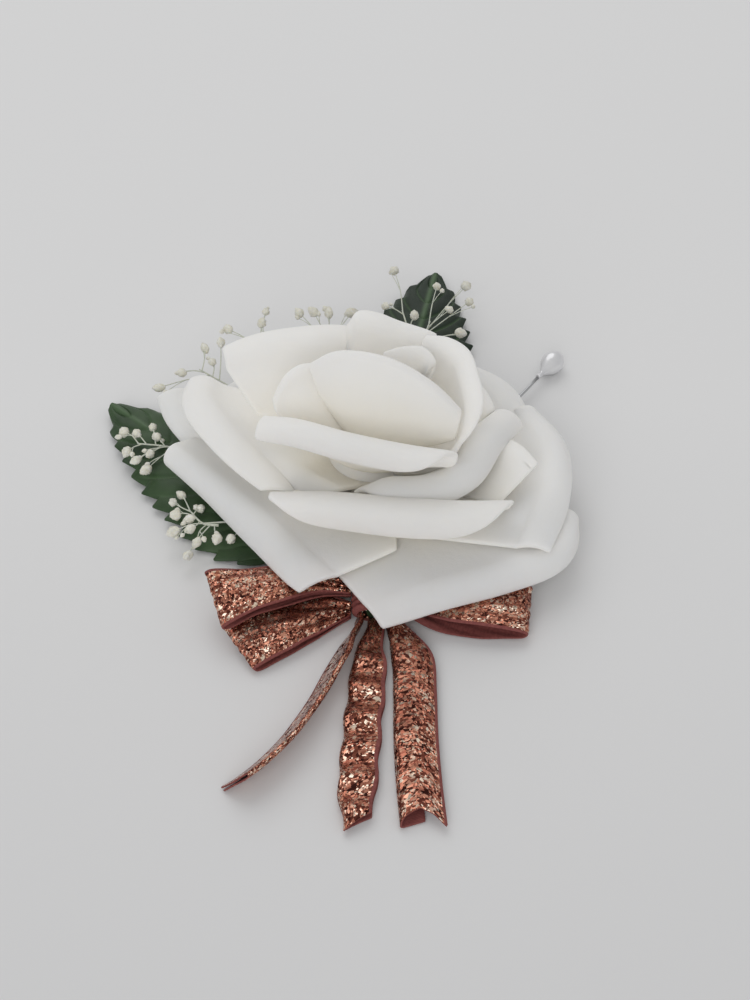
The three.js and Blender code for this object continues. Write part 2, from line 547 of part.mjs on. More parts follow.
loop('bow_loop_right',
  [[KNOT_SIDE, -27, 3.9], [10, -25.4, 4.8], [18, -25.8, 4.85], [24, -26.8, 4.8], [28.2, -28, 4.4],
    [28.9, -28.2, 3.8], [28.2, -28, 3], [23, -26.6, 1.3], [16, -25.7, 1], [10, -25.9, 1.2],
    [KNOT_SIDE, -27.3, 2.2]],
  [[KNOT_SIDE, -31.6, 3.6], [8.2, -33.8, 3.6], [12.7, -35.9, 4.0], [18.5, -37.2, 4.25], [26.8, -37.9, 2.8],
    [27.6, -38, 2.1], [27, -37.9, 1.4], [22.8, -37.4, 0.5], [17.3, -37.1, 0.45], [11, -35.5, 0.7],
    [KNOT_SIDE, -31.9, 1.9]]);

// A tail of the bow along a route on the surface. section gives the folded cross-section at a
// share of the length, as [offset to the right of the route, height] pairs.
// ends gives how far each of those lines runs, as a share, which cuts the end of the tail.
function tail(name, route, section, ends, steps) {
  const path = new THREE.CatmullRomCurve3(route.map(([x, y]) => vec(x, y, 0)));
  const rows = ends.map((end, line) => Array.from({ length: steps + 1 }, (_, k) => {
    const share = (end * k) / steps;
    const forward = path.getTangentAt(share);
    const right = vec(-forward.y, forward.x, 0);
    const [offset, height] = section(share)[line];
    return path.getPointAt(share).addScaledVector(right, offset).setZ(height);
  }));
  addPiece(name, geometryOf(closedSolid(sheet(rows, RIBBON_THICK))), RIBBON_ROSE, 0.5, 0.3);
}

// 0 at the knot, 1 where the ribbon has opened to its full width.
const opened = (share, over) => THREE.MathUtils.smoothstep(share, 0, over);
const between = THREE.MathUtils.lerp;
const TAIL_START = KNOT_MIDDLE - KNOT_LENGTH / 2 - GAP;
const HALF_RIBBON = RIBBON_WIDTH / 2;
const TAIL_LEAN = 3;           // how far the standing tail's fold lies to the right of its edges
const TAIL_STAND = Math.sqrt(HALF_RIBBON ** 2 - TAIL_LEAN ** 2);

// Folded in half along its length and standing on its edges, leaning to the right.
tail('bow_tail_left',
  [[-3.2, TAIL_START], [-3.3, -35.4], [-5.4, -38.6], [-8.6, -45.2], [-11, -51], [-13.8, -56.4],
    [-16.3, -60.5], [-19.9, -65], [-23.3, -68.3], [-25.3, -69.8]],
  (share) => {
    const height = between(3.4, TAIL_STAND, opened(share, 0.2));
    const lean = between(0.5, TAIL_LEAN, opened(share, 0.25));
    return [[-0.55, 0.4], [0.55 * lean - 0.4, height * 0.55], [lean, height], [lean + 0.45, height * 0.95],
      [0.5 * lean + 0.5, height * 0.5], [0.5, 0.4]];
  },
  [1, 0.97, 0.93, 0.93, 0.97, 1], 14);

// Folded in half along its length, lying flat and lightly waved, with a slanted end.
tail('bow_tail_middle',
  [[0.2, TAIL_START], [0.1, -35.5], [-0.8, -40], [-1.3, -47.8], [-2, -55.4], [-2.4, -61.7],
    [-2.8, -67], [-3.1, -74], [-3, -78]],
  (share) => {
    const narrowed = 1 - 0.35 * THREE.MathUtils.smoothstep(share, 0.8, 1);
    const half = between(1.4, HALF_RIBBON / 2, opened(share, 0.3)) * narrowed;
    const wave = 0.5 * (1 - Math.cos(14 * Math.PI * share)) * opened(share, 0.3);
    const aside = 0.2 * Math.sin(11 * Math.PI * share) * opened(share, 0.3);
    return [[aside + half, 0.35], [aside - half + 0.4, 0.35], [aside - half, 0.9 + 0.5 * wave],
      [aside - half + 0.4, 1.45 + wave], [aside, 1.7 + wave], [aside + half, 1.4 + wave]];
  },
  [0.94, 0.985, 1, 1, 0.97, 0.94], 22);

// One side folded under, lying flat, with a swallow-tail end.
tail('bow_tail_right',
  [[3.4, TAIL_START], [3.6, -35.3], [5.2, -39], [6.8, -43.5], [7, -50], [7, -60], [7.4, -70],
    [8, -78]],
  (share) => {
    const half = between(1.3, 3.7, opened(share, 0.24));
    const lift = between(1.6, 1, opened(share, 0.24));
    return [[-half + 1 + 3 * opened(share, 0.24), 0.35], [-half + 0.4, 0.4], [-half, 0.95],
      [-half + 0.6, 0.9 + lift], [-0.1 * half, 1.1 + lift], [0.5 * half, 1 + lift], [half, 0.6 + lift]];
  },
  [0.955, 0.975, 0.98, 0.955, 0.92, 0.95, 1], 16);

// ---------------------------------------------------------------- pin

const PIN_LENGTH = 65;
const PIN_POINT = vec(STEM_RADIUS + PIN_RADIUS + GAP, -12.3, PEARL_RADIUS);
const PIN_HEADING = vec(0.575, 0.818, 0).normalize();
const SHAFT_LENGTH = PIN_LENGTH - PEARL_LENGTH;

// Turned about its own length, point first, then laid along the heading.
function alongPin(profile, sides, from) {
  const geometry = new THREE.LatheGeometry(profile.map(([r, s]) => new THREE.Vector2(r, s)), sides);
  const turn = new THREE.Quaternion().setFromUnitVectors(vec(0, 1, 0), PIN_HEADING);
  const at = PIN_POINT.clone().addScaledVector(PIN_HEADING, from);
  return geometry.applyQuaternion(turn).translate(at.x, at.y, at.z);
}

const shaftProfile = [[0, 0], [PIN_RADIUS, 4], [PIN_RADIUS, SHAFT_LENGTH - GAP], [0, SHAFT_LENGTH - GAP]];
addPiece('pin_shaft', geometryOf(closedSolid(alongPin(shaftProfile, 8, 0))), STEEL, 0.3, 1);

// A teardrop: the sine of the polar angle, drawn out to a narrow neck where the shaft enters.
const PEARL_STEPS = 10;
const pearlProfile = [[0, 0]];
for (let k = 0; k <= PEARL_STEPS; k += 1) {
  const share = k / PEARL_STEPS;
  const swell = Math.sin(Math.PI * share ** 1.6) ** (1 - 0.5 * share);
  pearlProfile.push([k === PEARL_STEPS ? 0 : Math.max(PEARL_RADIUS * swell, 0.6), PEARL_LENGTH * share]);
}
addPiece('pin_pearl', geometryOf(closedSolid(alongPin(pearlProfile, 12, SHAFT_LENGTH))), PEARL, 0.2);

// The frame's origin is the middle of the stem's flat underside.
group.position.set(0, -STEM_FLAT_MIDDLE, 0);

export default group;
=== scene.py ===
"""Looks of a boutonniere: a foam rose on two leaves, with gypsophila, a glitter bow and a pearl pin.

Shapes are worked out in millimetres round the rose's axis, then placed in metres in the part's frame.
"""

import bpy
import numpy as np
from mathutils import Matrix


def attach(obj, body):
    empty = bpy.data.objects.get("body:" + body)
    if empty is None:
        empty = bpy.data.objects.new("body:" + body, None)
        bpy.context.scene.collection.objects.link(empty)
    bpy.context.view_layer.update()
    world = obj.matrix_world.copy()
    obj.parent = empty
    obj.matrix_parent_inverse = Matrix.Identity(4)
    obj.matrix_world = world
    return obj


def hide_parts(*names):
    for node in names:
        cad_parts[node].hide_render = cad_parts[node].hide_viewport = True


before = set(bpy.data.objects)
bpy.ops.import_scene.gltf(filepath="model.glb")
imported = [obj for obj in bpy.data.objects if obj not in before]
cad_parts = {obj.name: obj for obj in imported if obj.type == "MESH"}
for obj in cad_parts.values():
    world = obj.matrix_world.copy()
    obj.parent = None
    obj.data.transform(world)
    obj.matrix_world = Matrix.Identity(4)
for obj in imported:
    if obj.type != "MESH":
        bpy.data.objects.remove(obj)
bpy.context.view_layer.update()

MM = 0.001
ROSE_AXIS = np.array([0.0, 12.0, 0.0])  # mm, where the rose's axis meets the surface
UP = np.array([0.0, 0.0, 1.0])
RIBBON_WIDTH = 12.5  # mm, half-inch ribbon


# ---------------------------------------------------------------- shapes as arrays


def unit(v):
    """Vectors scaled to length 1, along the last axis."""
    v = np.asarray(v, float)
    return v / np.maximum(np.linalg.norm(v, axis=-1, keepdims=True), 1e-12)


def smoothstep(x, low, high):
    """0 below low, 1 above high, 3s^2 - 2s^3 between."""
    s = np.clip((np.asarray(x, float) - low) / (high - low), 0.0, 1.0)
    return s * s * (3.0 - 2.0 * s)


def mix(a, b, share):
    """a + (b - a) * share."""
    return a + (b - a) * share


def ripple(*terms):
    """Sum of amplitude * sin(phase) over (amplitude, phase array) pairs."""
    return sum(amplitude * np.sin(phase) for amplitude, phase in terms)


def curve_at(points, shares):
    """Centripetal Catmull-Rom curve through points, at shares 0..1 of its number of spans.

    Spans are cubics whose end slopes come from the neighbours, with knots at the root of the distance.
    """
    p = np.asarray(points, float)
    p = np.vstack([2 * p[0] - p[1], p, 2 * p[-1] - p[-2]])
    spans = len(p) - 3
    at = np.clip(np.asarray(shares, float), 0.0, 1.0) * spans
    k = np.minimum(at.astype(int), spans - 1)
    t = (at - k)[:, None]
    p0, p1, p2, p3 = p[k], p[k + 1], p[k + 2], p[k + 3]
    d0, d1, d2 = (np.maximum(np.linalg.norm(b - a, axis=1), 1e-6)[:, None] ** 0.5
                  for a, b in ((p0, p1), (p1, p2), (p2, p3)))
    m1 = ((p1 - p0) / d0 - (p2 - p0) / (d0 + d1) + (p2 - p1) / d1) * d1
    m2 = ((p2 - p1) / d1 - (p3 - p1) / (d1 + d2) + (p3 - p2) / d2) * d1
    return ((2 * t**3 - 3 * t**2 + 1) * p1 + (t**3 - 2 * t**2 + t) * m1
            + (3 * t**2 - 2 * t**3) * p2 + (t**3 - t**2) * m2)


def evenly_along(points, shares):
    """The same curve, at shares of its arc length, with the unit tangent at each."""
    fine = curve_at(points, np.linspace(0, 1, 801))
    run = np.concatenate([[0], np.cumsum(np.linalg.norm(np.diff(fine, axis=0), axis=1))])
    run /= run[-1]
    slope = unit(np.gradient(fine, axis=0))
    at = np.stack([np.interp(shares, run, fine[:, c]) for c in range(fine.shape[1])], -1)
    way = unit(np.stack([np.interp(shares, run, slope[:, c]) for c in range(fine.shape[1])], -1))
    return at, way


def grid_quads(n, m, first=0):
    """Quads of an n by m grid of vertices, counter-clockwise round (across) x (along)."""
    i, j = np.meshgrid(np.arange(n - 1), np.arange(m - 1), indexing="ij")
    a = (first + i * m + j).ravel()
    return np.stack([a, a + m, a + m + 1, a + 1], -1)


def grid_normals(rows):
    """Unit normals of a grid of points: slope across x slope along."""
    return unit(np.cross(np.gradient(rows, axis=0), np.gradient(rows, axis=1)))


def sheet_shape(rows, thickness, uv=None, rim=4):
    """Closed sheet round a grid of middle points.

    Front and back are the grid moved by half the thickness along its normals, and the rim is a half
    circle of that radius round the outline: point + h (normal cos a + outward sin a), a from 0 to 180.
    The tag is 1 on the front, 0 on the back, and falls evenly with a on the rim.
    """
    n, m, _ = rows.shape
    half = np.broadcast_to(np.asarray(thickness, float) / 2, (n, m))
    normal = grid_normals(rows)
    loop = np.concatenate([
        np.arange(0, n - 1) * m, (n - 1) * m + np.arange(0, m - 1),
        np.arange(n - 1, 0, -1) * m + m - 1, np.arange(m - 1, 0, -1)])
    edge = rows.reshape(-1, 3)[loop]
    edge_normal = normal.reshape(-1, 3)[loop]
    edge_half = half.ravel()[loop]
    way = unit(np.roll(edge, -1, axis=0) - np.roll(edge, 1, axis=0))
    outward = unit(np.cross(way, edge_normal))
    angles = np.pi * np.arange(1, rim) / rim
    rings = [edge + edge_half[:, None] * (edge_normal * np.cos(a) + outward * np.sin(a)) for a in angles]
    offset = normal * half[..., None]
    points = np.vstack([(rows + offset).reshape(-1, 3), (rows - offset).reshape(-1, 3), *rings])
    front = grid_quads(n, m)
    back = grid_quads(n, m, n * m)[:, ::-1]
    between = [2 * n * m + k * len(loop) + np.arange(len(loop)) for k in range(rim - 1)]
    chain = [loop, *between, loop + n * m]
    sides = [np.stack([np.roll(a, -1), a, b, np.roll(b, -1)], -1) for a, b in zip(chain[:-1], chain[1:])]
    if uv is None:
        across, along = np.meshgrid(np.linspace(0, 1, n), np.linspace(0, 1, m), indexing="ij")
        uv = np.stack([across, along], -1)
    flat_uv = uv.reshape(-1, 2)
    rim_tags = [np.full(len(loop), 1 - a / np.pi) for a in angles]
    tag = np.concatenate([np.ones(n * m), np.zeros(n * m), *rim_tags])
    return {"points": points, "quads": np.vstack([front, back, *sides]), "tris": np.empty((0, 3), int),
            "uv": np.vstack([flat_uv, flat_uv] + [flat_uv[loop]] * (rim - 1)), "tag": tag}


def ring_shape(centres, sides, radii, lift=None, tag=0.0):
    """Closed body of rings along a line of centres, with a pole at each end.

    A ring is centre + radius (side cos a + top sin a). radii is one number a ring, or one a vertex.
    side and top are carried along the line without twisting, from lift as the first top.
    """
    centres = np.asarray(centres, float)
    n = len(centres)
    way = unit(np.gradient(centres, axis=0))
    if lift is None:
        lift = UP if abs(way[0, 2]) < 0.9 else [1, 0, 0]
    top = np.array(lift, float)
    tops = np.empty_like(centres)
    for k in range(n):
        top = unit(top - way[k] * (top @ way[k]))
        tops[k] = top
    side = np.cross(tops, way)
    a = 2 * np.pi * np.arange(sides) / sides
    radii = np.asarray(radii, float)
    radii = np.broadcast_to(radii[:, None] if radii.ndim == 1 else radii, (n, sides))
    rings = centres[:, None] + radii[..., None] * (
        side[:, None] * np.cos(a)[None, :, None] + tops[:, None] * np.sin(a)[None, :, None])
    points = np.vstack([rings.reshape(-1, 3), centres[:1], centres[-1:]])
    k = np.arange(sides)
    after = (k + 1) % sides
    base = (np.arange(n - 1) * sides)[:, None]
    quads = np.stack([base + k, base + after, base + after + sides, base + k + sides], -1).reshape(-1, 4)
    last = (n - 1) * sides
    tris = np.vstack([np.stack([np.full(sides, n * sides), after, k], -1),
                      np.stack([np.full(sides, n * sides + 1), last + k, last + after], -1)])
    around = np.concatenate([np.tile(a / (2 * np.pi), n), [0, 0]])
    along = np.concatenate([np.repeat(np.linspace(0, 1, n), sides), [0, 1]])
    return {"points": points, "quads": quads, "tris": tris, "uv": np.stack([around, along], -1),
            "tag": np.full(len(points), float(tag))}


def together(shapes):
    """Several shapes as one."""
    starts = np.cumsum([0] + [len(s["points"]) for s in shapes[:-1]])
    return {"points": np.vstack([s["points"] for s in shapes]),
            "quads": np.vstack([s["quads"] + k for s, k in zip(shapes, starts)]),
            "tris": np.vstack([s["tris"] + k for s, k in zip(shapes, starts)]),
            "uv": np.vstack([s["uv"] for s in shapes]),
            "tag": np.concatenate([s["tag"] for s in shapes])}


def put_in_scene(name, data):
    """A new object of the scene that holds a mesh, a light or a camera."""
    thing = bpy.data.objects.new(name, data)
    bpy.context.scene.collection.objects.link(thing)
    return thing


def make_piece(name, shape, material, slot, *nodes):
    """Puts a shape, in mm round the rose's axis, into a mesh object in metres in the part's frame."""
    quads, tris = shape["quads"].astype(np.int32), shape["tris"].astype(np.int32)
    points = ((shape["points"] + ROSE_AXIS) * MM).astype(np.float32)
    corners = np.concatenate([quads.ravel(), tris.ravel()])
    starts = np.concatenate([4 * np.arange(len(quads)), 4 * len(quads) + 3 * np.arange(len(tris))])
    mesh = bpy.data.meshes.new(name)
    mesh.vertices.add(len(points))
    mesh.vertices.foreach_set("co", points.ravel())
    mesh.loops.add(len(corners))
    mesh.loops.foreach_set("vertex_index", corners)
    mesh.polygons.add(len(starts))
    mesh.polygons.foreach_set("loop_start", starts.astype(np.int32))
    mesh.update(calc_edges=True)
    mesh.validate()
    mesh.shade_smooth()
    layer = mesh.uv_layers.new(name="flat")
    layer.data.foreach_set("uv", shape["uv"][corners].astype(np.float32).ravel())
    tags = mesh.attributes.new("tag", "FLOAT", "POINT")
    tags.data.foreach_set("value", shape["tag"].astype(np.float32))
    mesh.materials.append(material)
    piece = put_in_scene(name, mesh)
    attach(piece, "root")
    if nodes:
        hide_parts(*nodes)
    return piece


# ---------------------------------------------------------------- materials


class Finish:
    """A node material with one Principled shader. put() adds a node, join() links sockets."""

    def __init__(self, name, color, roughness, **constants):
        self.material = bpy.data.materials.new(name)
        self.material.use_nodes = True
        self.tree = self.material.node_tree
        self.shader = self.tree.nodes["Principled BSDF"]
        self.set(self.shader, {"Base Color": (*color, 1), "Roughness": roughness, **constants})

    @staticmethod
    def set(node, values):
        for socket, value in values.items():
            node.inputs[socket].default_value = value

    def put(self, kind, values=None, **settings):
        node = self.tree.nodes.new("ShaderNode" + kind)
        for key, value in settings.items():
            setattr(node, key, value)
        self.set(node, values or {})
        return node

    def join(self, source, output, node, socket):
        self.tree.links.new(source.outputs[output], node.inputs[socket])

    def place(self, kind="object"):
        """Object coordinates in metres, or the piece's own flat map in mm."""
        if kind == "object":
            return self.put("TexCoord"), "Object"
        return self.put("UVMap", uv_map="flat"), "UV"

    def noise(self, scale, kind="object", detail=3.0):
        node = self.put("TexNoise", {"Scale": scale, "Detail": detail})
        source, output = self.place(kind)
        self.join(source, output, node, "Vector")
        return node

    def ramp(self, source, output, stops):
        """Colours at positions, straight between."""
        node = self.put("ValToRGB")
        while len(node.color_ramp.elements) < len(stops):
            node.color_ramp.elements.new(0.5)
        for element, (position, color) in zip(node.color_ramp.elements, stops):
            element.position = position
            element.color = (*color, 1)
        self.join(source, output, node, "Fac")
        return node

    def math(self, operation, *parts):
        """parts are numbers or (node, output) pairs."""
        node = self.put("Math", operation=operation)
        for k, part in enumerate(parts):
            if isinstance(part, tuple):
                self.tree.links.new(part[0].outputs[part[1]], node.inputs[k])
            else:
                node.inputs[k].default_value = part
        return node

    def blend(self, share, first, second, mode="MIX"):
        """Colours mixed by share. Each is a colour or a (node, output) pair."""
        node = self.put("Mix", data_type="RGBA", blend_type=mode)
        for index, part in ((0, share), (6, first), (7, second)):
            if isinstance(part, tuple) and not isinstance(part[0], (int, float)):
                self.tree.links.new(part[0].outputs[part[1]], node.inputs[index])
            else:
                node.inputs[index].default_value = part if index == 0 else (*part, 1)
        return node

    def bump(self, height, strength, distance, after=None):
        node = self.put("Bump", {"Strength": strength, "Distance": distance})
        self.tree.links.new(height[0].outputs[height[1]], node.inputs["Height"])
        if after is not None:
            self.join(after, "Normal", node, "Normal")
        return node

    def paint(self, source, output="Result"):
        self.join(source, output, self.shader, "Base Color")

    def grain(self, bump):
        self.join(bump, "Normal", self.shader, "Normal")


def foam_finish():
    """Soft foam sheet: warm scattering inside, a felt-like grain of fine closed cells.

    v runs from 0 at a petal's glued root to 1 at its free margin; toward the root the sheet is painted
    creamier, a painted warm glow of the light that bounces between the petals.
    """
    f = Finish("ivory_foam", (0.96, 0.94, 0.885), 0.85, **{
        "Subsurface Weight": 0.55, "Subsurface Radius": (1.0, 0.92, 0.8), "Subsurface Scale": 0.007,
        "Specular IOR Level": 0.25, "Sheen Weight": 0.12, "Sheen Roughness": 0.6})
    cloud = f.noise(55, detail=2)
    tint = f.ramp(cloud, "Fac", [(0.35, (0.965, 0.945, 0.90)), (0.65, (0.98, 0.962, 0.92))])
    source, output = f.place("flat")
    split = f.put("SeparateXYZ")
    f.join(source, output, split, "Vector")
    # Painted warm glow: the foam turns creamier toward each petal's root, where light bounces between the
    # petals.
    painted_glow_depth = f.math("MULTIPLY_ADD", (cloud, "Fac"), 0.2, (split, "Y"))
    free = f.put("MapRange", {"From Min": 0.22, "From Max": 0.62})
    f.join(painted_glow_depth, "Value", free, "Value")
    f.paint(f.blend((free, "Result"), (0.985, 0.935, 0.82), (tint, "Color")))
    cells = f.noise(3800, detail=2)
    felt = f.noise(900, detail=3)
    low = f.bump((felt, "Fac"), 0.12, 0.0004)
    fine = f.bump((cells, "Fac"), 0.14, 0.00015, after=low)
    f.grain(fine)
    return f.material


def leaf_finish(name, dark, light):
    """Pressed satin leaf: cloth clouded from dark to light, pale veins and a fine weave."""
    f = Finish(name, (0.03, 0.06, 0.03), 0.42, **{
        "Specular IOR Level": 0.32, "Sheen Weight": 0.12, "Sheen Roughness": 0.35,
        "Sheen Tint": (0.55, 0.7, 0.5, 1)})
    cloud = f.noise(110, detail=4)
    tint = f.ramp(cloud, "Fac", [(0.3, dark), (0.7, light)])
    vein = f.put("Attribute", attribute_name="tag")
    f.paint(f.blend((vein, "Fac"), (tint, "Color"), (0.075, 0.13, 0.06)))
    thread = {"Scale": 0.9, "Distortion": 0.4, "Detail": 1.0}
    warp = f.put("TexWave", thread, bands_direction="X")
    weft = f.put("TexWave", thread, bands_direction="Y")
    source, output = f.place("flat")
    f.join(source, output, warp, "Vector")
    f.join(source, output, weft, "Vector")
    weave = f.math("MULTIPLY", (warp, "Fac"), (weft, "Fac"))
    f.grain(f.bump((weave, "Value"), 0.35, 0.00006))
    rough = f.noise(300, detail=2)
    spread = f.put("MapRange", {"From Min": 0.3, "From Max": 0.7, "To Min": 0.36, "To Max": 0.52})
    f.join(rough, "Fac", spread, "Value")
    f.join(spread, "Result", f.shader, "Roughness")
    return f.material


def ribbon_finish():
    """Glitter ribbon: two sizes of copper flakes, each with its own tint and tilt, on red cloth.

    u runs across the ribbon in mm and v along it. The flakes are painted brighter in patches of a few mm,
    painted glints where the lamps catch them. The outer 0.2 to 0.6 mm at both edges is plain weave, and
    so is the whole back.
    """
    f = Finish("rose_gold_glitter", (0.4, 0.2, 0.14), 0.35)
    source, output = f.place("flat")
    split = f.put("SeparateXYZ")
    f.join(source, output, split, "Vector")
    from_far_edge = f.math("SUBTRACT", RIBBON_WIDTH, (split, "X"))
    from_edge = f.math("MINIMUM", (split, "X"), (from_far_edge, "Value"))
    wander = f.noise(0.8, "flat", detail=2)
    edge_line = f.math("MULTIPLY_ADD", (wander, "Fac"), 0.4, 0.22)
    inside = f.math("GREATER_THAN", (from_edge, "Value"), (edge_line, "Value"))
    side = f.put("Attribute", attribute_name="tag")
    front = f.math("GREATER_THAN", (side, "Fac"), 0.75)
    glitter = f.math("MULTIPLY", (inside, "Value"), (front, "Value"))

    big = f.put("TexVoronoi", {"Scale": 1.9, "Randomness": 1.0}, voronoi_dimensions="2D")
    small = f.put("TexVoronoi", {"Scale": 4.0, "Randomness": 1.0}, voronoi_dimensions="2D")
    f.join(source, output, big, "Vector")
    f.join(source, output, small, "Vector")
    pick = f.put("SeparateColor")
    f.join(big, "Color", pick, "Color")
    chosen = f.math("GREATER_THAN", (pick, "Red"), 0.55)
    flake = f.blend((chosen, "Value"), (small, "Color"), (big, "Color"))
    parts = f.put("SeparateColor")
    f.join(flake, "Result", parts, "Color")
    # Painted glints: a noise of a few mm lifts the flakes to bright cream in patches and leaves them dark
    # between.
    painted_glint_patch = f.noise(0.32, "flat", detail=2)
    flake_and_painted_glint = f.math("ADD", (painted_glint_patch, "Fac"), (parts, "Green"))
    level = f.math("SUBTRACT", (flake_and_painted_glint, "Value"), 0.52)
    tint = f.ramp(level, "Value", [
        (0.0, (0.05, 0.013, 0.010)), (0.3, (0.20, 0.055, 0.036)), (0.52, (0.46, 0.165, 0.105)),
        (0.76, (0.84, 0.40, 0.27)), (0.92, (1.0, 0.84, 0.68))])

    cloth = f.noise(1.6, "flat", detail=3)
    red = f.ramp(cloth, "Fac", [(0.3, (0.18, 0.042, 0.038)), (0.7, (0.27, 0.075, 0.064))])
    f.paint(f.blend((glitter, "Value"), (red, "Color"), (tint, "Color")))
    f.join(f.math("MULTIPLY", (glitter, "Value"), 0.9), "Value", f.shader, "Metallic")
    shine = f.math("MULTIPLY_ADD", (parts, "Blue"), 0.2, 0.12)
    rough = f.put("Mix", {"A": 0.75}, data_type="FLOAT")
    f.join(glitter, "Value", rough, "Factor")
    f.join(shine, "Value", rough, "B")
    f.join(rough, "Result", f.shader, "Roughness")

    weave = f.put("TexWave", {"Scale": 1.1, "Distortion": 0.6, "Detail": 1.0}, bands_direction="Y")
    f.join(source, output, weave, "Vector")
    thread = f.bump((weave, "Fac"), 0.4, 0.0001)
    geometry = f.put("NewGeometry")
    centred = f.put("VectorMath", {1: (0.5, 0.5, 0.5)}, operation="SUBTRACT")
    f.join(flake, "Result", centred, 0)
    tilt = f.put("VectorMath", {"Scale": 0.8}, operation="SCALE")
    f.join(centred, "Vector", tilt, "Vector")
    leaned = f.put("VectorMath", operation="ADD")
    f.join(geometry, "Normal", leaned, 0)
    f.join(tilt, "Vector", leaned, 1)
    facet = f.put("VectorMath", operation="NORMALIZE")
    f.join(leaned, "Vector", facet, 0)
    normal = f.put("Mix", data_type="VECTOR")
    f.join(glitter, "Value", normal, "Factor")
    f.join(thread, "Normal", normal, "A")
    f.join(facet, "Vector", normal, "B")
    f.join(normal, "Result", f.shader, "Normal")
    return f.material


def gypsophila_finish():
    """Ivory buds, tag 1, on dry pale green stems, tag 0."""
    f = Finish("ivory_gypsophila", (0.66, 0.63, 0.53), 0.8, **{
        "Subsurface Weight": 0.2, "Subsurface Radius": (1.0, 0.9, 0.6), "Subsurface Scale": 0.001})
    kind = f.put("Attribute", attribute_name="tag")
    speck = f.noise(1500, detail=3)
    bud = f.ramp(speck, "Fac", [(0.3, (0.70, 0.68, 0.58)), (0.7, (0.86, 0.85, 0.77))])
    stem = f.ramp(speck, "Fac", [(0.3, (0.52, 0.55, 0.45)), (0.7, (0.70, 0.72, 0.62))])
    f.paint(f.blend((kind, "Fac"), (stem, "Color"), (bud, "Color")))
    f.grain(f.bump((speck, "Fac"), 0.4, 0.0002))
    return f.material


def tape_finish():
    """Crepe floral tape: fine crinkles across its winding, waxy."""
    f = Finish("green_floral_tape", (0.08, 0.15, 0.06), 0.6, **{"Specular IOR Level": 0.35})
    cloud = f.noise(400, detail=4)
    tint = f.ramp(cloud, "Fac", [(0.3, (0.018, 0.040, 0.015)), (0.7, (0.045, 0.085, 0.034))])
    f.paint(tint, "Color")
    crinkle = f.put("TexWave", {"Scale": 450, "Distortion": 4.0, "Detail": 3.0, "Detail Scale": 2.0})
    source, output = f.place()
    f.join(source, output, crinkle, "Vector")
    f.grain(f.bump((crinkle, "Fac"), 0.4, 0.0002))
    return f.material


def steel_finish():
    """Drawn wire, faintly rough."""
    f = Finish("pin_wire", (0.55, 0.55, 0.56), 0.3, Metallic=1.0)
    lines = f.noise(2500, detail=2)
    f.grain(f.bump((lines, "Fac"), 0.1, 0.0001))
    return f.material


def pearl_finish():
    """Pearl lacquer: soft lustre under a clear coat, a little darker in clouds."""
    f = Finish("white_pearl", (0.80, 0.80, 0.82), 0.28, **{
        "Metallic": 0.35, "Coat Weight": 0.8, "Coat Roughness": 0.08})
    cloud = f.noise(350, detail=3)
    tint = f.ramp(cloud, "Fac", [(0.3, (0.74, 0.74, 0.76)), (0.7, (0.86, 0.86, 0.87))])
    f.paint(tint, "Color")
    return f.material


FOAM = foam_finish()
# The back leaf gets a darker copy of the same leaf cloth: painted shade for the rose's shadow that falls on
# it.
LEAF = {"leaf_left": leaf_finish("green_leaf_cloth", (0.018, 0.042, 0.015), (0.060, 0.110, 0.046)),
        "leaf_back": leaf_finish("leaf_cloth_painted_shade", (0.003, 0.012, 0.004), (0.010, 0.027, 0.011))}
RIBBON = ribbon_finish()
GYPSOPHILA = gypsophila_finish()
TAPE = tape_finish()
STEEL = steel_finish()
PEARL = pearl_finish()


# ---------------------------------------------------------------- rose bloom

FOAM_THICK = 1.0
# Where the petals of each layer are glued: distance from the axis, half the angle that the root
# spans, and the angle at which the sheet leaves the core.
LAYERS = {"bud": (3, 60, 50), "inner": (6, 70, 35), "middle": (8.5, 75, 30), "outer": (10, 75, 10)}
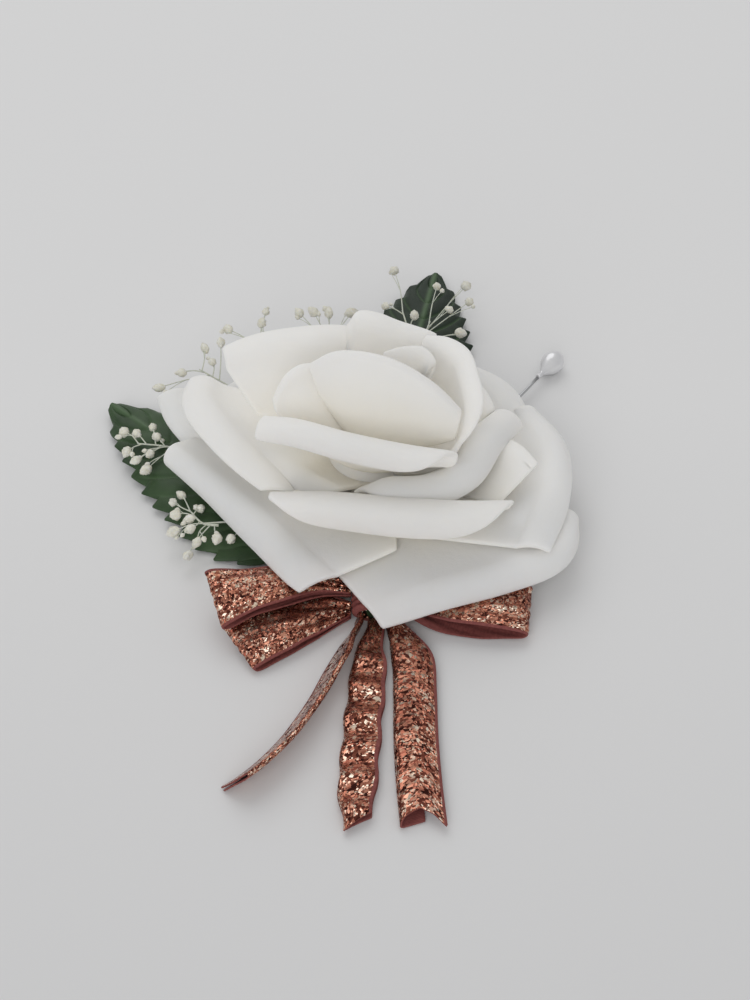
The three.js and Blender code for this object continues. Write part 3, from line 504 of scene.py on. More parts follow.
# For each petal: its layer, root height, crest points, lean, lip, roll and cut at the two ends, and
# the shoulders of the two sides where it has any. Lengths are in mm, lean and roll in degrees.
PETALS = {
    "bud_front": ("bud", 12, [[-11, -1, 33.3], [-6, -3.5, 37.8], [2.5, -5.5, 37.8], [10, -6.5, 33.3],
        [15.3, -6.2, 26.8]],
        95, 1.2, (-60, -60), (0.2, 0.2), ([-10, -3.5, 30], [14.5, -8, 23])),
    "bud_right": ("bud", 12, [[11.5, 1, 29.5], [12, 2.5, 33], [9.5, 5, 34.5], [5, 6, 34], [2, 6, 33.5]],
        85, 3, (60, 60), (0.2, 0.2)),
    "bud_left": ("bud", 12, [[-18.8, -2.2, 26], [-16.3, -1.2, 30.4], [-13.8, -0.2, 31.8], [-10, 1.5, 30.8]],
        92, 1.2, (-60, -60), (0.2, 0.2)),
    "bud_back": ("bud", 12, [[8.5, 3.5, 30], [0, 6.5, 31], [-8, 3.5, 30]],
        88, 3, (50, 50), (0.3, 0.3)),
    "bud_heart": ("bud", 12, [[-6, 2, 30.5], [0, 1, 32], [5.5, 3, 31]],
        88, 2, (40, 40), (0.3, 0.3)),
    "inner_front": ("inner", 13, [[-20.5, -10, 29], [-14.5, -12.5, 30.5], [-5.5, -16, 30.5],
        [4.5, -18, 29.5], [14.5, -18, 27.5]],
        80, 8, (215, 205), (0.2, 0.95)),
    "inner_left": ("inner", 13, [[-6, 16.5, 30], [-14.5, 14, 31], [-21.5, 12.5, 31], [-29, 11.5, 29.5]],
        75, 5, (80, 70), (0.2, 0.2), (None, [-22.5, 3.5, 19])),
    "inner_back": ("inner", 12.5, [[11.5, 13, 31], [5, 14, 32.5], [0.5, 15, 34], [-3, 16, 34],
        [-5, 16, 32]],
        80, 4, (80, 70), (0.2, 0.3)),
    "inner_right": ("inner", 12, [[16, -13, 23], [19, -9.5, 26.5], [20, -6, 30], [19, -0.5, 32],
        [17.5, 5, 33], [14, 9, 33], [10.5, 11, 32.5]],
        82, 4, (70, 80), (0.9, 0.3)),
    "middle_left": ("middle", 11.5, [[-34.5, 15.5, 17.5], [-34.5, 9.5, 18], [-28.5, -2, 17.5],
        [-20, -12.5, 14.5]],
        45, 7, (115, 55), (0.3, 0), (None, [-7, -14.5, 16])),
    "middle_right_front": ("middle", 11.5, [[-4, -16.5, 16], [2, -17.5, 20], [10, -16, 19.5],
        [16.5, -11.5, 19.5], [21, -4, 21], [25.5, 4, 18.5]],
        75, 9, (150, 170), (0.9, 0.1)),
    "middle_front": ("middle", 9, [[-19, -19.5, 18.5], [-8, -20.5, 19.5], [3.5, -22.5, 20],
        [15.5, -22.5, 19], [25.5, -20.5, 17]],
        70, 10.5, (210, 160), (0.7, 0.8)),
    "middle_right": ("middle", 10.5, [[30.3, -7.5, 15.9], [27.6, -4.4, 17.1], [24.2, -2, 17.4], [20, 2, 17]],
        30, 1.5, (30, 30), (0, 0.3), ([22.8, -15.3, 13.3], None)),
    "middle_right_back": ("middle", 10, [[23, 5.5, 18], [20, 10.5, 19], [14, 17.5, 19]],
        60, 4, (70, 80), (0.2, 0.3)),
    "middle_back": ("middle", 10.5, [[19, 18, 18], [2, 25.5, 19], [-17, 21, 18]],
        55, 7, (100, 100), (0.2, 0.3)),
    "outer_left_front": ("outer", 10, [[-39.5, 3, 10.5], [-28.5, -8, 10.5], [-17.5, -20, 10],
        [-10, -31, 9.5]],
        20, 7.5, (190, 45), (0.2, 0), (None, [3.5, -24, 10])),
    "outer_right_front": ("outer", 7.6, [[-1, -35.5, 7], [10, -31, 8], [23, -27, 9], [31.5, -23.5, 9.5],
        [34.5, -19.5, 9.5], [35.5, -13.5, 9.5]],
        10, 6, (40, 120), (0, 0.3), ([-10.5, -22, 7.6], None)),
    "outer_right": ("outer", 8.8, [[29, -24.3, 11.3], [33, -12.5, 12.5], [34, 2.5, 12.5], [29.5, 12.5, 12]],
        30, 6, (60, 110), (0, 0.3), ([7.5, -21.1, 10.8], None)),
    "outer_left": ("outer", 8, [[-41.5, 20, 10], [-38.5, 13, 10], [-29, 0.5, 9]],
        18, 5, (60, 70), (0.1, 0.1)),
    "outer_right_back": ("outer", 7.8, [[28, 11, 11.5], [24, 20.5, 11.5], [10, 30.5, 10.5]],
        25, 6, (80, 80), (0.1, 0.3)),
    "outer_left_back": ("outer", 7.6, [[-8, 31, 9], [-23, 25, 9.5], [-34, 15, 9]],
        25, 7, (80, 80), (0.1, 0.3)),
    "outer_back": ("outer", 8, [[20, 27, 8.5], [4, 33, 9], [-14, 30, 8.5]],
        25, 7, (80, 80), (0.1, 0.3)),
}
SHOULDER = 0.45  # share of the climb at which a side passes its shoulder
LEAVING, ARRIVING = 1.1, 0.9  # end slopes of the climb, as shares of its reach
NO_SHOULDERS = (None, None)


def petal_rows(layer, root_height, crest, lean, lip, roll, cut, shoulders=NO_SHOULDERS,
               across=49, body=26, curl_steps=20):
    """Middle surface of a petal, u from -1 to 1 across, climbing from its root to its free margin.

    Crest: a smooth curve through its points. Body: a cubic from the root circle to the crest, leaving
    at the layer's rise and arriving at the lean. A side with a shoulder runs by straight lines over that
    point, reached at t = 0.45, which pulls the sheet by u^2. Its margin faces away from the shoulder, by
    |u|^3 cos(lean).
    Margin: a circular curl from the crest, with its radius lip / roll, that turns down through roll
    degrees and shortens toward the corners by cut |u|^3.
    """
    radius, span, rise = LAYERS[layer]
    u = np.linspace(-1, 1, across)
    top, forward = evenly_along(crest, (u + 1) / 2)
    middle = top[across // 2]
    chord = unit((top[-1] - top[0]) * [1, 1, 0])
    face, mid_angle = np.arctan2(-chord[0], chord[1]), np.arctan2(middle[1], middle[0])
    root_angle = mid_angle + ((face - mid_angle + np.pi) % (2 * np.pi) - np.pi) / 2
    forward = unit(forward * [1, 1, 0])
    outward = np.stack([forward[:, 1], -forward[:, 0], 0 * u], -1)
    lean, rise = np.radians(lean), np.radians(rise)
    sides = [(end, np.array(point, float), np.where(u * (2 * end + 1) < 0, np.abs(u), 0))
             for end, point in zip((0, -1), shoulders) if point is not None]
    for end, point, near in sides:
        away = unit((top[end] - point) * [1, 1, 0])
        outward = unit(outward + (away - outward) * (near**3 * np.cos(lean))[:, None])
    turned = np.radians(mix(roll[0], roll[1], (u + 1) / 2))
    curl = (lip / turned)[:, None]
    fold = top - outward * curl * np.sin(lean) - UP * curl * (1 - np.cos(lean))
    angle = root_angle + np.radians(span) * u
    out = np.stack([np.cos(angle), np.sin(angle), 0 * u], -1)
    root = out * radius + UP * root_height
    reach = np.linalg.norm(fold - root, axis=1)[:, None]
    leaving = (out * np.cos(rise) + UP * np.sin(rise)) * LEAVING * reach
    arriving = (outward * np.cos(lean) + UP * np.sin(lean)) * ARRIVING * reach

    def climb(t):
        return ((2 * t**3 - 3 * t**2 + 1) * root[:, None] + (t**3 - 2 * t**2 + t) * leaving[:, None]
                + (3 * t**2 - 2 * t**3) * fold[:, None] + (t**3 - t**2) * arriving[:, None])

    t = np.linspace(0, 1, body)
    t[np.abs(t - SHOULDER).argmin()] = SHOULDER
    rows = climb(t[None, :, None])
    free = rows.copy()
    for end, point, near in sides:
        corners = np.stack([root[end], point, fold[end]])
        bent = np.stack([np.interp(t, [0, SHOULDER, 1], corners[:, c]) for c in range(3)], -1)
        rows = rows + (near**2)[:, None, None] * (bent - free[end])
    kept = 1 - np.where(u < 0, cut[0], cut[1]) * np.abs(u) ** 3
    tilt = lean - (np.arange(1, curl_steps + 1) / curl_steps)[None, :] * (kept * turned)[:, None]
    margin = (fold[:, None] + curl[:, None] * (
        outward[:, None] * (np.sin(lean) - np.sin(tilt))[..., None]
        + UP * (np.cos(tilt) - np.cos(lean))[..., None]))
    return np.concatenate([rows, margin], axis=1)


for name, values in PETALS.items():
    rows = petal_rows(*values)
    shape = sheet_shape(rows, FOAM_THICK, rim=6)
    petal = make_piece("petal_" + name, shape, FOAM, "foam_petals", "rose_bloom")

# radius and height, in mm
CORE_PROFILE = [[0.2, 6.4], [7, 6.6], [10.8, 7.6], [11.2, 9.5], [10, 11.5], [7.5, 14], [4, 16.5],
                [0.4, 17.5]]


def axis_line(profile):
    """Points on the rose's axis at the heights of a profile of radius and height pairs."""
    return profile[:, 1:] * UP


def core_piece():
    """The core that the petals are glued to, turned from a smooth profile."""
    profile = curve_at(CORE_PROFILE, np.linspace(0, 1, 40))
    shape = ring_shape(axis_line(profile), 64, profile[:, 0])
    make_piece("rose_core", shape, FOAM, "foam_petals", "rose_bloom")


core_piece()


# ---------------------------------------------------------------- leaves

LEAF_LENGTH = 56.0
LEAF_HALF_WIDTH = 14.5
LEAF_TEETH = 12
TOOTH_RISE = 0.72  # share of a tooth's length over which it rises
LEAF_VEINS = 9
LEAF_ARCH = 1.2
LEAF_DROOP = 2.0
LEAF_THICK = 0.4
STALK_RADIUS = 0.75


def leaf_piece(name, base, tip, stalk, node, seed):
    """A rose leaf. u runs across from -1 to 1, t along from base to tip.

    Half width: 14.5 sin(pi (0.04 + 0.96 t^0.55))^0.6, but at most 42 (1.01 - t) near the tip, cut by
    a saw of 12 teeth a side that lean toward the tip. Height: a line from base to tip, plus an arch
    1.2 sin(pi t), less a droop 2 u^2, plus the pressed relief: pillows between side veins at
    t = k/9 + 0.2 |u|^1.2, a groove along each of them, a ridge along the midrib, and two ripples
    that grow toward the margin by |u|^6.
    """
    start = np.array([base[0], base[1], 0.0])
    along = np.array([tip[0], tip[1], 0.0]) - start
    side = unit([along[1], -along[0], 0.0])
    t = np.linspace(0, 1, 241)[None, :]
    u = np.linspace(-1, 1, 61)[:, None]
    fullness = np.minimum(np.clip(np.sin(np.pi * (0.04 + 0.96 * t**0.55)), 0, 1) ** 0.6, 2.9 * (1.01 - t))
    phase = (t * LEAF_TEETH) % 1.0
    saw = np.where(phase < TOOTH_RISE, phase / TOOTH_RISE, (1 - phase) / (1 - TOOTH_RISE))
    margin = np.abs(u) ** 6
    reach = fullness * (1 - 0.15 * (1 - saw) * margin * smoothstep(t, 0.02, 0.1))
    half_width = np.maximum(LEAF_HALF_WIDTH * reach, 0.3)
    lean = 0.012 * saw * margin
    rib = mix(base[2], tip[2], t) + LEAF_ARCH * np.sin(np.pi * t)
    vein_phase = (t - 0.2 * np.abs(u) ** 1.2) * LEAF_VEINS
    near_vein = np.abs((vein_phase + 0.5) % 1.0 - 0.5)
    side_vein = np.exp(-((near_vein / 0.07) ** 2)) * smoothstep(1 - np.abs(u), 0.02, 0.2)
    mid_vein = np.exp(-((u * half_width / 0.55) ** 2))
    pillow = np.sin(np.pi * near_vein) ** 0.5 * (1 - np.abs(u) ** 4)
    relief = 0.35 * pillow - 0.18 * side_vein + 0.25 * mid_vein
    wave = ripple((0.35 * margin, 19 * t + seed), (0.2 * margin, 41 * t + 2 * seed * np.sign(u)))
    height = rib - LEAF_DROOP * u**2 * fullness + relief * smoothstep(t, 0, 0.08) + wave
    height = np.maximum(height, LEAF_THICK / 2 + 0.05)
    rows = (start + along * (t + lean)[..., None] + side * (u * half_width)[..., None]
            + UP * height[..., None])
    uv = np.stack([u * half_width, np.broadcast_to(t * LEAF_LENGTH, half_width.shape)], -1)
    blade = sheet_shape(rows, LEAF_THICK, uv)
    vein = np.clip(np.maximum(0.8 * side_vein, mid_vein), 0, 1)
    vein = np.broadcast_to(vein, half_width.shape).ravel()
    blade["tag"] = np.concatenate([vein, vein, np.zeros(len(blade["points"]) - 2 * len(vein))])
    path = curve_at(stalk, np.linspace(0, 1, 24))
    wire = ring_shape(path, 16, np.full(len(path), STALK_RADIUS), tag=0.3)
    leaf = make_piece(name, together([blade, wire]), LEAF[node], "leaf_cloth", node)


leaf_piece("left_leaf", [-15, -14.3, 2.2],
           [-15 - LEAF_LENGTH * 0.72, -14.3 + LEAF_LENGTH * 0.694, 2.0],
           [[-16.8, -12.6, 2.3], [-9, -18.6, 2], [-2.6, -20, 1.9]], "leaf_left", 0.4)
leaf_piece("back_leaf", [3.8, 15.4, 2.4],
           [3.8 + LEAF_LENGTH * 0.182, 15.4 + LEAF_LENGTH * 0.983, 1.7],
           [[4.1, 17.4, 2.5], [1, 8, 2.4], [0.2, 2.6, 2.3]], "leaf_back", 2.1)


# ---------------------------------------------------------------- gypsophila

rng = np.random.default_rng(7)


def bud_shape(centre, way, size):
    """A bud: an egg of rings whose radius is size sin(pi s^0.8)^0.7, folded by petals near its tip."""
    s = np.linspace(0, 1, 11)
    sides = 15
    around = 2 * np.pi * np.arange(sides) / sides
    long = size * rng.uniform(2.2, 3.2)
    radius = size * np.sin(np.pi * np.clip(s, 0.03, 0.97) ** 0.8) ** 0.7
    petals = 1 + 0.2 * s[:, None] * np.cos(5 * around + rng.uniform(0, 6))[None, :]
    rough = 1 + rng.uniform(-0.12, 0.12, (len(s), sides))
    line = centre + way * ((s - 0.5) * long)[:, None]
    return ring_shape(line, sides, radius[:, None] * petals * rough, tag=1.0)


def spray_piece(name, trunks, buds, node):
    """Stems as tubes that thin toward their free ends.

    A bud sits on a twiglet that leaves a stem at a share of its length and bends at an elbow. A small
    side bud hangs on a stalk from the same elbow, up to 1.5 mm aside of the bud.
    """
    shapes = []
    for points in trunks:
        line = curve_at(points, np.linspace(0, 1, 30))
        shapes.append(ring_shape(line, 8, np.linspace(0.15, 0.26, 30)))
    for trunk, share, x, y, z in buds:
        fork, _ = evenly_along(trunks[trunk], np.array([share]))
        bud = np.array([x, y, z], float)
        elbow = (fork[0] + bud) / 2 + [rng.uniform(-0.4, 0.4), rng.uniform(-0.4, 0.4), 0.4]
        line = curve_at([fork[0], elbow, bud], np.linspace(0, 1, 12))
        shapes.append(ring_shape(line, 6, np.linspace(0.14, 0.09, 12)))
        way = unit(unit(bud - elbow) + rng.uniform(-0.5, 0.5, 3))
        shapes.append(bud_shape(bud, way, rng.uniform(0.8, 1.1)))
        aside = bud + rng.uniform(-1, 1, 3) * [1.5, 1.5, 0.5]
        stalk = curve_at([elbow, (elbow + aside) / 2 + [0, 0, 0.2], aside], np.linspace(0, 1, 8))
        shapes.append(ring_shape(stalk, 6, np.linspace(0.1, 0.07, 8)))
        shapes.append(bud_shape(aside, unit(aside - elbow), rng.uniform(0.35, 0.6)))
    make_piece(name, together(shapes), GYPSOPHILA, "gypsophila", node)


spray_piece("spray_left_upper", [
    [[-41.5, 9, 4.7], [-30, 4, 4.6], [-16, -2, 4.2], [-2.55, -6, 2.6]],
    [[-48, 9.5, 5.2], [-41.5, 9, 4.7], [-36, 6.8, 4.65]],
], [
    [1, 0.02, -51.2, 13.1, 5], [1, 0.15, -48.5, 12.6, 5.2], [1, 0.3, -45.4, 14.2, 5.4],
    [1, 0.45, -44.4, 11.6, 5.2], [1, 0.5, -45.2, 6.6, 5], [1, 0.08, -50, 7.4, 4.8],
    [1, 0.4, -47.9, 4.9, 4.8], [1, 0.6, -45.6, 2.2, 4.8],
], "gypsophila_left_upper")
spray_piece("spray_left_lower", [
    [[-33, -12.5, 4.8], [-26, -12, 4.7], [-14, -13, 4.4], [-2.55, -15, 2.6]],
    [[-36, -9, 5], [-33, -12.5, 4.8], [-30, -13, 4.75]],
], [
    [1, 0.05, -38, -4.4, 4.5], [1, 0.1, -39.4, -6.6, 4.6], [1, 0.2, -33.8, -8.1, 4.4],
    [1, 0.25, -38.6, -10, 4.6], [1, 0.4, -35.8, -11.4, 4.8], [1, 0.5, -35.4, -14, 4.8],
    [1, 0.6, -38.6, -14.4, 4.4], [1, 0.7, -33.9, -17.2, 4.3], [1, 0.9, -30.1, -16.2, 4.3],
    [0, 0.3, -27.4, -16.4, 4.5], [1, 0.8, -35.4, -19.6, 3.4],
], "gypsophila_left_lower")
spray_piece("spray_back_left", [
    [[-25, 38, 7.6], [-20, 31, 5.1], [-9, 14, 4.4], [-1.9, 3.1, 3.4]],
    [[-10.5, 41.5, 8], [-10, 34, 5.1], [-9.5, 24, 4.8], [-9, 14, 4.4]],
    [[-37, 30, 7.4], [-29, 26, 5.1], [-18, 18, 4.7], [-9, 14, 4.4]],
], [
    [0, 0.04, -31.7, 41.6, 9], [0, 0.02, -23.8, 47.6, 9], [0, 0.1, -24.5, 43.8, 9],
    [1, 0.1, -16.5, 46, 10], [1, 0.03, -13.5, 46.4, 10], [1, 0.02, -10, 45.8, 10.2],
    [1, 0.15, -5, 46, 10], [2, 0.02, -36.2, 35.6, 8.6], [2, 0.1, -34.4, 31.6, 8.2],
    [2, 0.15, -33, 37.8, 8.4], [2, 0.04, -40.5, 28, 8.2], [2, 0.08, -45, 24.4, 7.2],
], "gypsophila_back_left")
spray_piece("spray_back", [
    [[12, 46, 7.6], [9.5, 39, 5.3], [6, 22, 4.9], [1.4, 3.1, 3.5]],
    [[6, 50, 7.4], [7.5, 44, 6.2], [9.5, 39, 5.3]],
], [
    [0, 0.02, 13.9, 59, 7.2], [0, 0.04, 16.5, 50, 7.6], [1, 0.5, 8.6, 47.4, 8.2],
    [1, 0.1, 2.2, 51.6, 7.4], [0, 0.12, 18.6, 42.4, 7.2], [1, 0.04, 4.4, 66, 6.4],
    [0, 0.06, 20.6, 60, 6.6], [0, 0.08, 21, 54, 6.8],
], "gypsophila_back")


# ---------------------------------------------------------------- bow

RIBBON_THICK = 0.35


def ribbon_uv(rows):
    """u across the ribbon in mm, v the middle line's length in mm."""
    n, m, _ = rows.shape
    middle = rows[n // 2]
    run = np.concatenate([[0], np.cumsum(np.linalg.norm(np.diff(middle, axis=0), axis=1))])
    return np.stack(np.meshgrid(np.linspace(0, RIBBON_WIDTH, n), run, indexing="ij"), -1)


def ribbon_piece(name, rows, node, flip=False):
    """A ribbon as a sheet, with the glitter on its front, or on its back where flip says so."""
    if flip:
        rows = rows[::-1]
    uv = ribbon_uv(rows)
    piece = make_piece(name, sheet_shape(rows, RIBBON_THICK, uv), RIBBON, "glitter_ribbon", node)


def loop_rows(far, near, crown, outside, across=49, along=181):
    """Straight across between two curves, out on top and back underneath, then moved along its normal.

    s runs along from knot to knot and w across. The move is a swell crown sin(pi w) sin(2 pi s)^2, a
    quarter of that on the lower ply, with cockles of 0.12 mm between the knots and pleats
    0.42 sin(6 pi w + 0.6) that die out from the knot by exp(-(s / 0.11)^2). outside is 1 or -1, the
    normal's outer sense.
    """
    s = np.linspace(0, 1, along)
    a, b = curve_at(far, s), curve_at(near, s)
    w = np.linspace(0, 1, across)[:, None]
    rows = a + (b - a) * w[..., None]
    s = s[None, :]
    swell = crown * np.sin(np.pi * w) * np.sin(2 * np.pi * s) ** 2 * np.where(s < 0.5, 1.0, 0.25)
    knot = np.exp(-((np.minimum(s, 1 - s) / 0.11) ** 2))
    pleats = 0.42 * np.sin(6 * np.pi * w + 0.6) * knot
    cockles = 0.12 * np.sin(9 * np.pi * w + 21 * s) * np.sin(23 * s + 5 * w) * (1 - knot)
    return rows + grid_normals(rows) * (outside * (swell + cockles) + pleats)[..., None]


KNOT_SIDE = 4.6
ribbon_piece("loop_left_upper", loop_rows(
    [[-KNOT_SIDE, -26.9, 3.9], [-11, -24.9, 5.4], [-18, -24.8, 6], [-24.5, -26.6, 7.15], [-30.2, -28.6, 9.2],
     [-30.8, -28.8, 8.8], [-29.6, -28.8, 7.6], [-24, -26.8, 5.6], [-17.5, -25.2, 4.3], [-11, -25.6, 3.6],
     [-KNOT_SIDE, -27.2, 2.7]],
    [[-KNOT_SIDE, -29.5, 4.1], [-10, -30.2, 5.4], [-15.4, -33, 6.6], [-21, -35.7, 6.9], [-26.7, -38.7, 5.8],
     [-27.3, -38.9, 5.1], [-26.2, -38.3, 4.5], [-21.3, -35.4, 4.9], [-15.6, -32.8, 4.4], [-10, -30.2, 3.7],
     [-KNOT_SIDE, -29.3, 2.9]], 0.8, -1), "bow_loop_left_upper", flip=True)
ribbon_piece("loop_left_lower", loop_rows(
    [[-KNOT_SIDE, -30, 2.2], [-10, -28.4, 2.7], [-15.5, -29.8, 3.1], [-21, -32.4, 3.4], [-26.8, -36.2, 3.2],
     [-27.4, -36.7, 2.6], [-26.4, -36.3, 2], [-21, -32.2, 1.5], [-15.5, -29.6, 1.1], [-10, -28.4, 1],
     [-KNOT_SIDE, -30.2, 1.1]],
    [[-KNOT_SIDE, -33.3, 2.3], [-10, -37.6, 2.5], [-13.5, -40.1, 2.5], [-17, -42.4, 2.2],
     [-20.9, -44.8, 1.7], [-21.5, -45.2, 1.2], [-20.8, -44.9, 0.6], [-17, -42.3, 0.45],
     [-13.5, -39.8, 0.5], [-10, -37.2, 0.6],
     [-KNOT_SIDE, -33.1, 1]], 0.8, -1), "bow_loop_left_lower",
    flip=True)
ribbon_piece("loop_right", loop_rows(
    [[KNOT_SIDE, -27, 3.9], [10, -25.4, 4.8], [18, -25.8, 4.85], [24, -26.8, 4.8], [28.2, -28, 4.4],
     [28.9, -28.2, 3.8], [28.2, -28, 3], [23, -26.6, 1.3], [16, -25.7, 1], [10, -25.9, 1.2],
     [KNOT_SIDE, -27.3, 2.2]],
    [[KNOT_SIDE, -31.6, 3.6], [8.2, -33.8, 3.6], [12.7, -35.9, 4.0], [18.5, -37.2, 4.25], [26.8, -37.9, 2.8],
     [27.6, -38, 2.1], [27, -37.9, 1.4], [22.8, -37.4, 0.5], [17.3, -37.1, 0.45], [11, -35.5, 0.7],
     [KNOT_SIDE, -31.9, 1.9]], 0.5, 1), "bow_loop_right")


def tail_rows(route, section, ends, across=41, along=221):
    """A folded tail along a route on the surface.

    The cross-section is a smooth curve through its offset and height pairs, at each share of the
    length. Each lengthwise line stops at its own share, straight between the ends given.
    """
    lines = np.linspace(0, 1, across)
    stops = np.interp(lines, np.linspace(0, 1, len(ends)), ends)
    shares = stops[:, None] * np.linspace(0, 1, along)[None, :]
    at, way = evenly_along([[x, y, 0.0] for x, y in route], shares.ravel())
    right = np.stack([-way[:, 1], way[:, 0], 0 * way[:, 0]], -1)
    rows = at.reshape(across, along, 3)
    right = right.reshape(across, along, 3)
    stations = np.linspace(0, 1, along)
    sections = np.stack([curve_at(section(s), lines) for s in stations], 1)
    offset = np.empty((across, along))
    height = np.empty((across, along))
    for k in range(across):
        offset[k] = np.interp(shares[k], stations, sections[k, :, 0])
        height[k] = np.interp(shares[k], stations, sections[k, :, 1])
    return rows + right * offset[..., None] + UP * height[..., None]


TAIL_START = -33.8
TAIL_LEAN = 3.0
TAIL_STAND = 5.48


def left_tail_section(share):
    """Folded in half and standing on its edges, leaning to the right."""
    height = mix(3.4, TAIL_STAND, smoothstep(share, 0, 0.2))
    lean = mix(0.5, TAIL_LEAN, smoothstep(share, 0, 0.25))
    return [[-0.4, 0.4], [0.55 * lean - 0.25, height * 0.55], [lean, height], [lean + 0.4, height * 0.95],
            [0.5 * lean + 0.35, height * 0.5], [0.35, 0.4]]


def middle_tail_section(share):
    """Folded in half and lying flat, lightly waved."""
    opened = smoothstep(share, 0, 0.3)
    half = mix(1.4, RIBBON_WIDTH / 4, opened) * (1 - 0.35 * smoothstep(share, 0.8, 1))
    wave = 0.35 * (1 - np.cos(14 * np.pi * share)) * opened
    aside = 0.2 * np.sin(11 * np.pi * share) * opened
    return [[aside + half, 0.35], [aside - half + 0.4, 0.35], [aside - half, 0.9 + 0.5 * wave],
            [aside - half + 0.4, 1.45 + wave], [aside, 1.7 + wave], [aside + half, 1.4 + wave]]


def right_tail_section(share):
    """One side folded under, lying flat."""
    opened = smoothstep(share, 0, 0.24)
    half, lift = mix(1.3, 3.7, opened), mix(1.6, 1.0, opened)
    return [[-half + 1 + 3 * opened, 0.35], [-half + 0.4, 0.4], [-half, 0.95], [-half + 0.6, 0.9 + lift],
            [-0.1 * half, 1.1 + lift], [0.5 * half, 1 + lift], [half, 0.6 + lift]]


ribbon_piece("tail_left", tail_rows(
    [[-3.2, TAIL_START], [-3.3, -35.4], [-5.4, -38.6], [-8.6, -45.2], [-11, -51], [-13.8, -56.4],
     [-16.3, -60.5], [-19.9, -65], [-23.3, -68.3], [-25.3, -69.8]],
    left_tail_section, [1, 0.97, 0.93, 0.93, 0.97, 1]), "bow_tail_left",
    flip=True)
ribbon_piece("tail_middle", tail_rows(
    [[0.2, TAIL_START], [0.1, -35.5], [-0.8, -40], [-1.3, -47.8], [-2, -55.4], [-2.4, -61.7],
     [-2.8, -67], [-3.1, -74], [-3, -78]],
    middle_tail_section, [0.94, 0.985, 1, 1, 0.97, 0.94]), "bow_tail_middle",
    flip=True)
ribbon_piece("tail_right", tail_rows(
    [[3.4, TAIL_START], [3.6, -35.3], [5.2, -39], [6.8, -43.5], [7, -50], [7, -60], [7.4, -70],
     [8, -78]],
    right_tail_section, [0.955, 0.975, 0.98, 0.955, 0.92, 0.95, 1]), "bow_tail_right",
    flip=True)


KNOT_MIDDLE = -30.0  # along the stem
KNOT_HALF_LENGTH = 3.4
KNOT_HALF_WIDTH, KNOT_HALF_HEIGHT = 3.9, 2.15
KNOT_CENTRE = 2.45  # above the surface


def knot_rows(across=61, along=97):
    """The wrap round the stem: an ellipse that overlaps itself a little underneath.

    s is the distance from its middle along the stem, over 3.3 mm. Pleats 0.36 cos(5 pi s) run round
    the wrap, and its ends are pinched by a share 0.05 s^2.
    """
    angle = np.linspace(-0.5 * np.pi, 1.5 * np.pi + 0.35, along)[None, :]
    y = KNOT_MIDDLE + np.linspace(KNOT_HALF_LENGTH, -KNOT_HALF_LENGTH, across)[:, None]
    s = (y - KNOT_MIDDLE) / 3.3
    pleat = 0.36 * np.cos(5 * np.pi * s) + 0 * angle
    pinch = 1 - 0.05 * s**2
    x = (KNOT_HALF_WIDTH * pinch + pleat) * np.cos(angle)
    z = KNOT_CENTRE + (KNOT_HALF_HEIGHT * pinch + pleat) * np.sin(angle)
    return np.stack([x, y + 0 * angle, np.maximum(z, 0.25)], -1)


ribbon_piece("knot_wrap", knot_rows(), "bow_knot")


# ---------------------------------------------------------------- calyx and stem

# radius and height, in mm, over the outside and back along the inside
CUP_PROFILE = [[0.2, 4.9], [3.2, 4.9], [8, 5.2], [10, 6.4], [9.8, 6.8], [7, 6.15], [0.2, 6.05]]
SEPALS = 5
SEPAL_ROOT, SEPAL_TIP = 6.5, 14.3  # from the axis
SEPAL_THICK = 0.5


def calyx_piece():
    """A turned cup with pointed sepals pressed flat under the petals.

    A sepal's half width is 3.1 (1 - s^1.6) + 0.15, with s from 0 at its root to 1 at its tip. Across
    it, w from -1 to 1, it is domed by 0.35 (1 - w^2) (1 - s).
    """
    profile = curve_at(CUP_PROFILE, np.linspace(0, 1, 49))
    sides = 64
    around = 2 * np.pi * np.arange(sides) / sides
    rings = np.stack([profile[:, :1] * np.cos(around), profile[:, :1] * np.sin(around),
                      profile[:, 1:] + 0 * around], -1)
    cup = ring_shape(axis_line(profile), sides, profile[:, 0])
    cup["points"][:rings.size // 3] = rings.reshape(-1, 3)
    shapes = [cup]
    s = np.linspace(0, 1, 25)[None, :, None]
    w = np.linspace(-1, 1, 13)[:, None, None]
    half = 3.1 * (1 - s**1.6) + 0.15
    height = 5.6 + 0.15 * s + 0.35 * (1 - w**2) * (1 - s)
    for k in range(SEPALS):
        angle = 2 * np.pi * (k + 0.25) / SEPALS
        out = np.array([np.cos(angle), np.sin(angle), 0])
        side = np.array([-out[1], out[0], 0])
        rows = out * mix(SEPAL_ROOT, SEPAL_TIP, s) + side * half * w + UP * height
        shapes.append(sheet_shape(rows, SEPAL_THICK))
    make_piece("calyx", together(shapes), TAPE, "floral_tape", "rose_calyx")


calyx_piece()


STEM_ROUTE = [[0, 0, 4.6], [0, -0.2, 3.6], [0, -1.3, 2.4], [0, -3.4, 1.85], [0, -12, 1.85],
              [0, -23, 1.85], [0, -26, 2.5], [0, -33.2, 2.5]]
STEM_RADIUS, STEM_END_RADIUS = 2.06, 1.45
TAPE_STEP = 0.14
TAPE_TURNS = 38 / 4.2  # about 9 from end to end


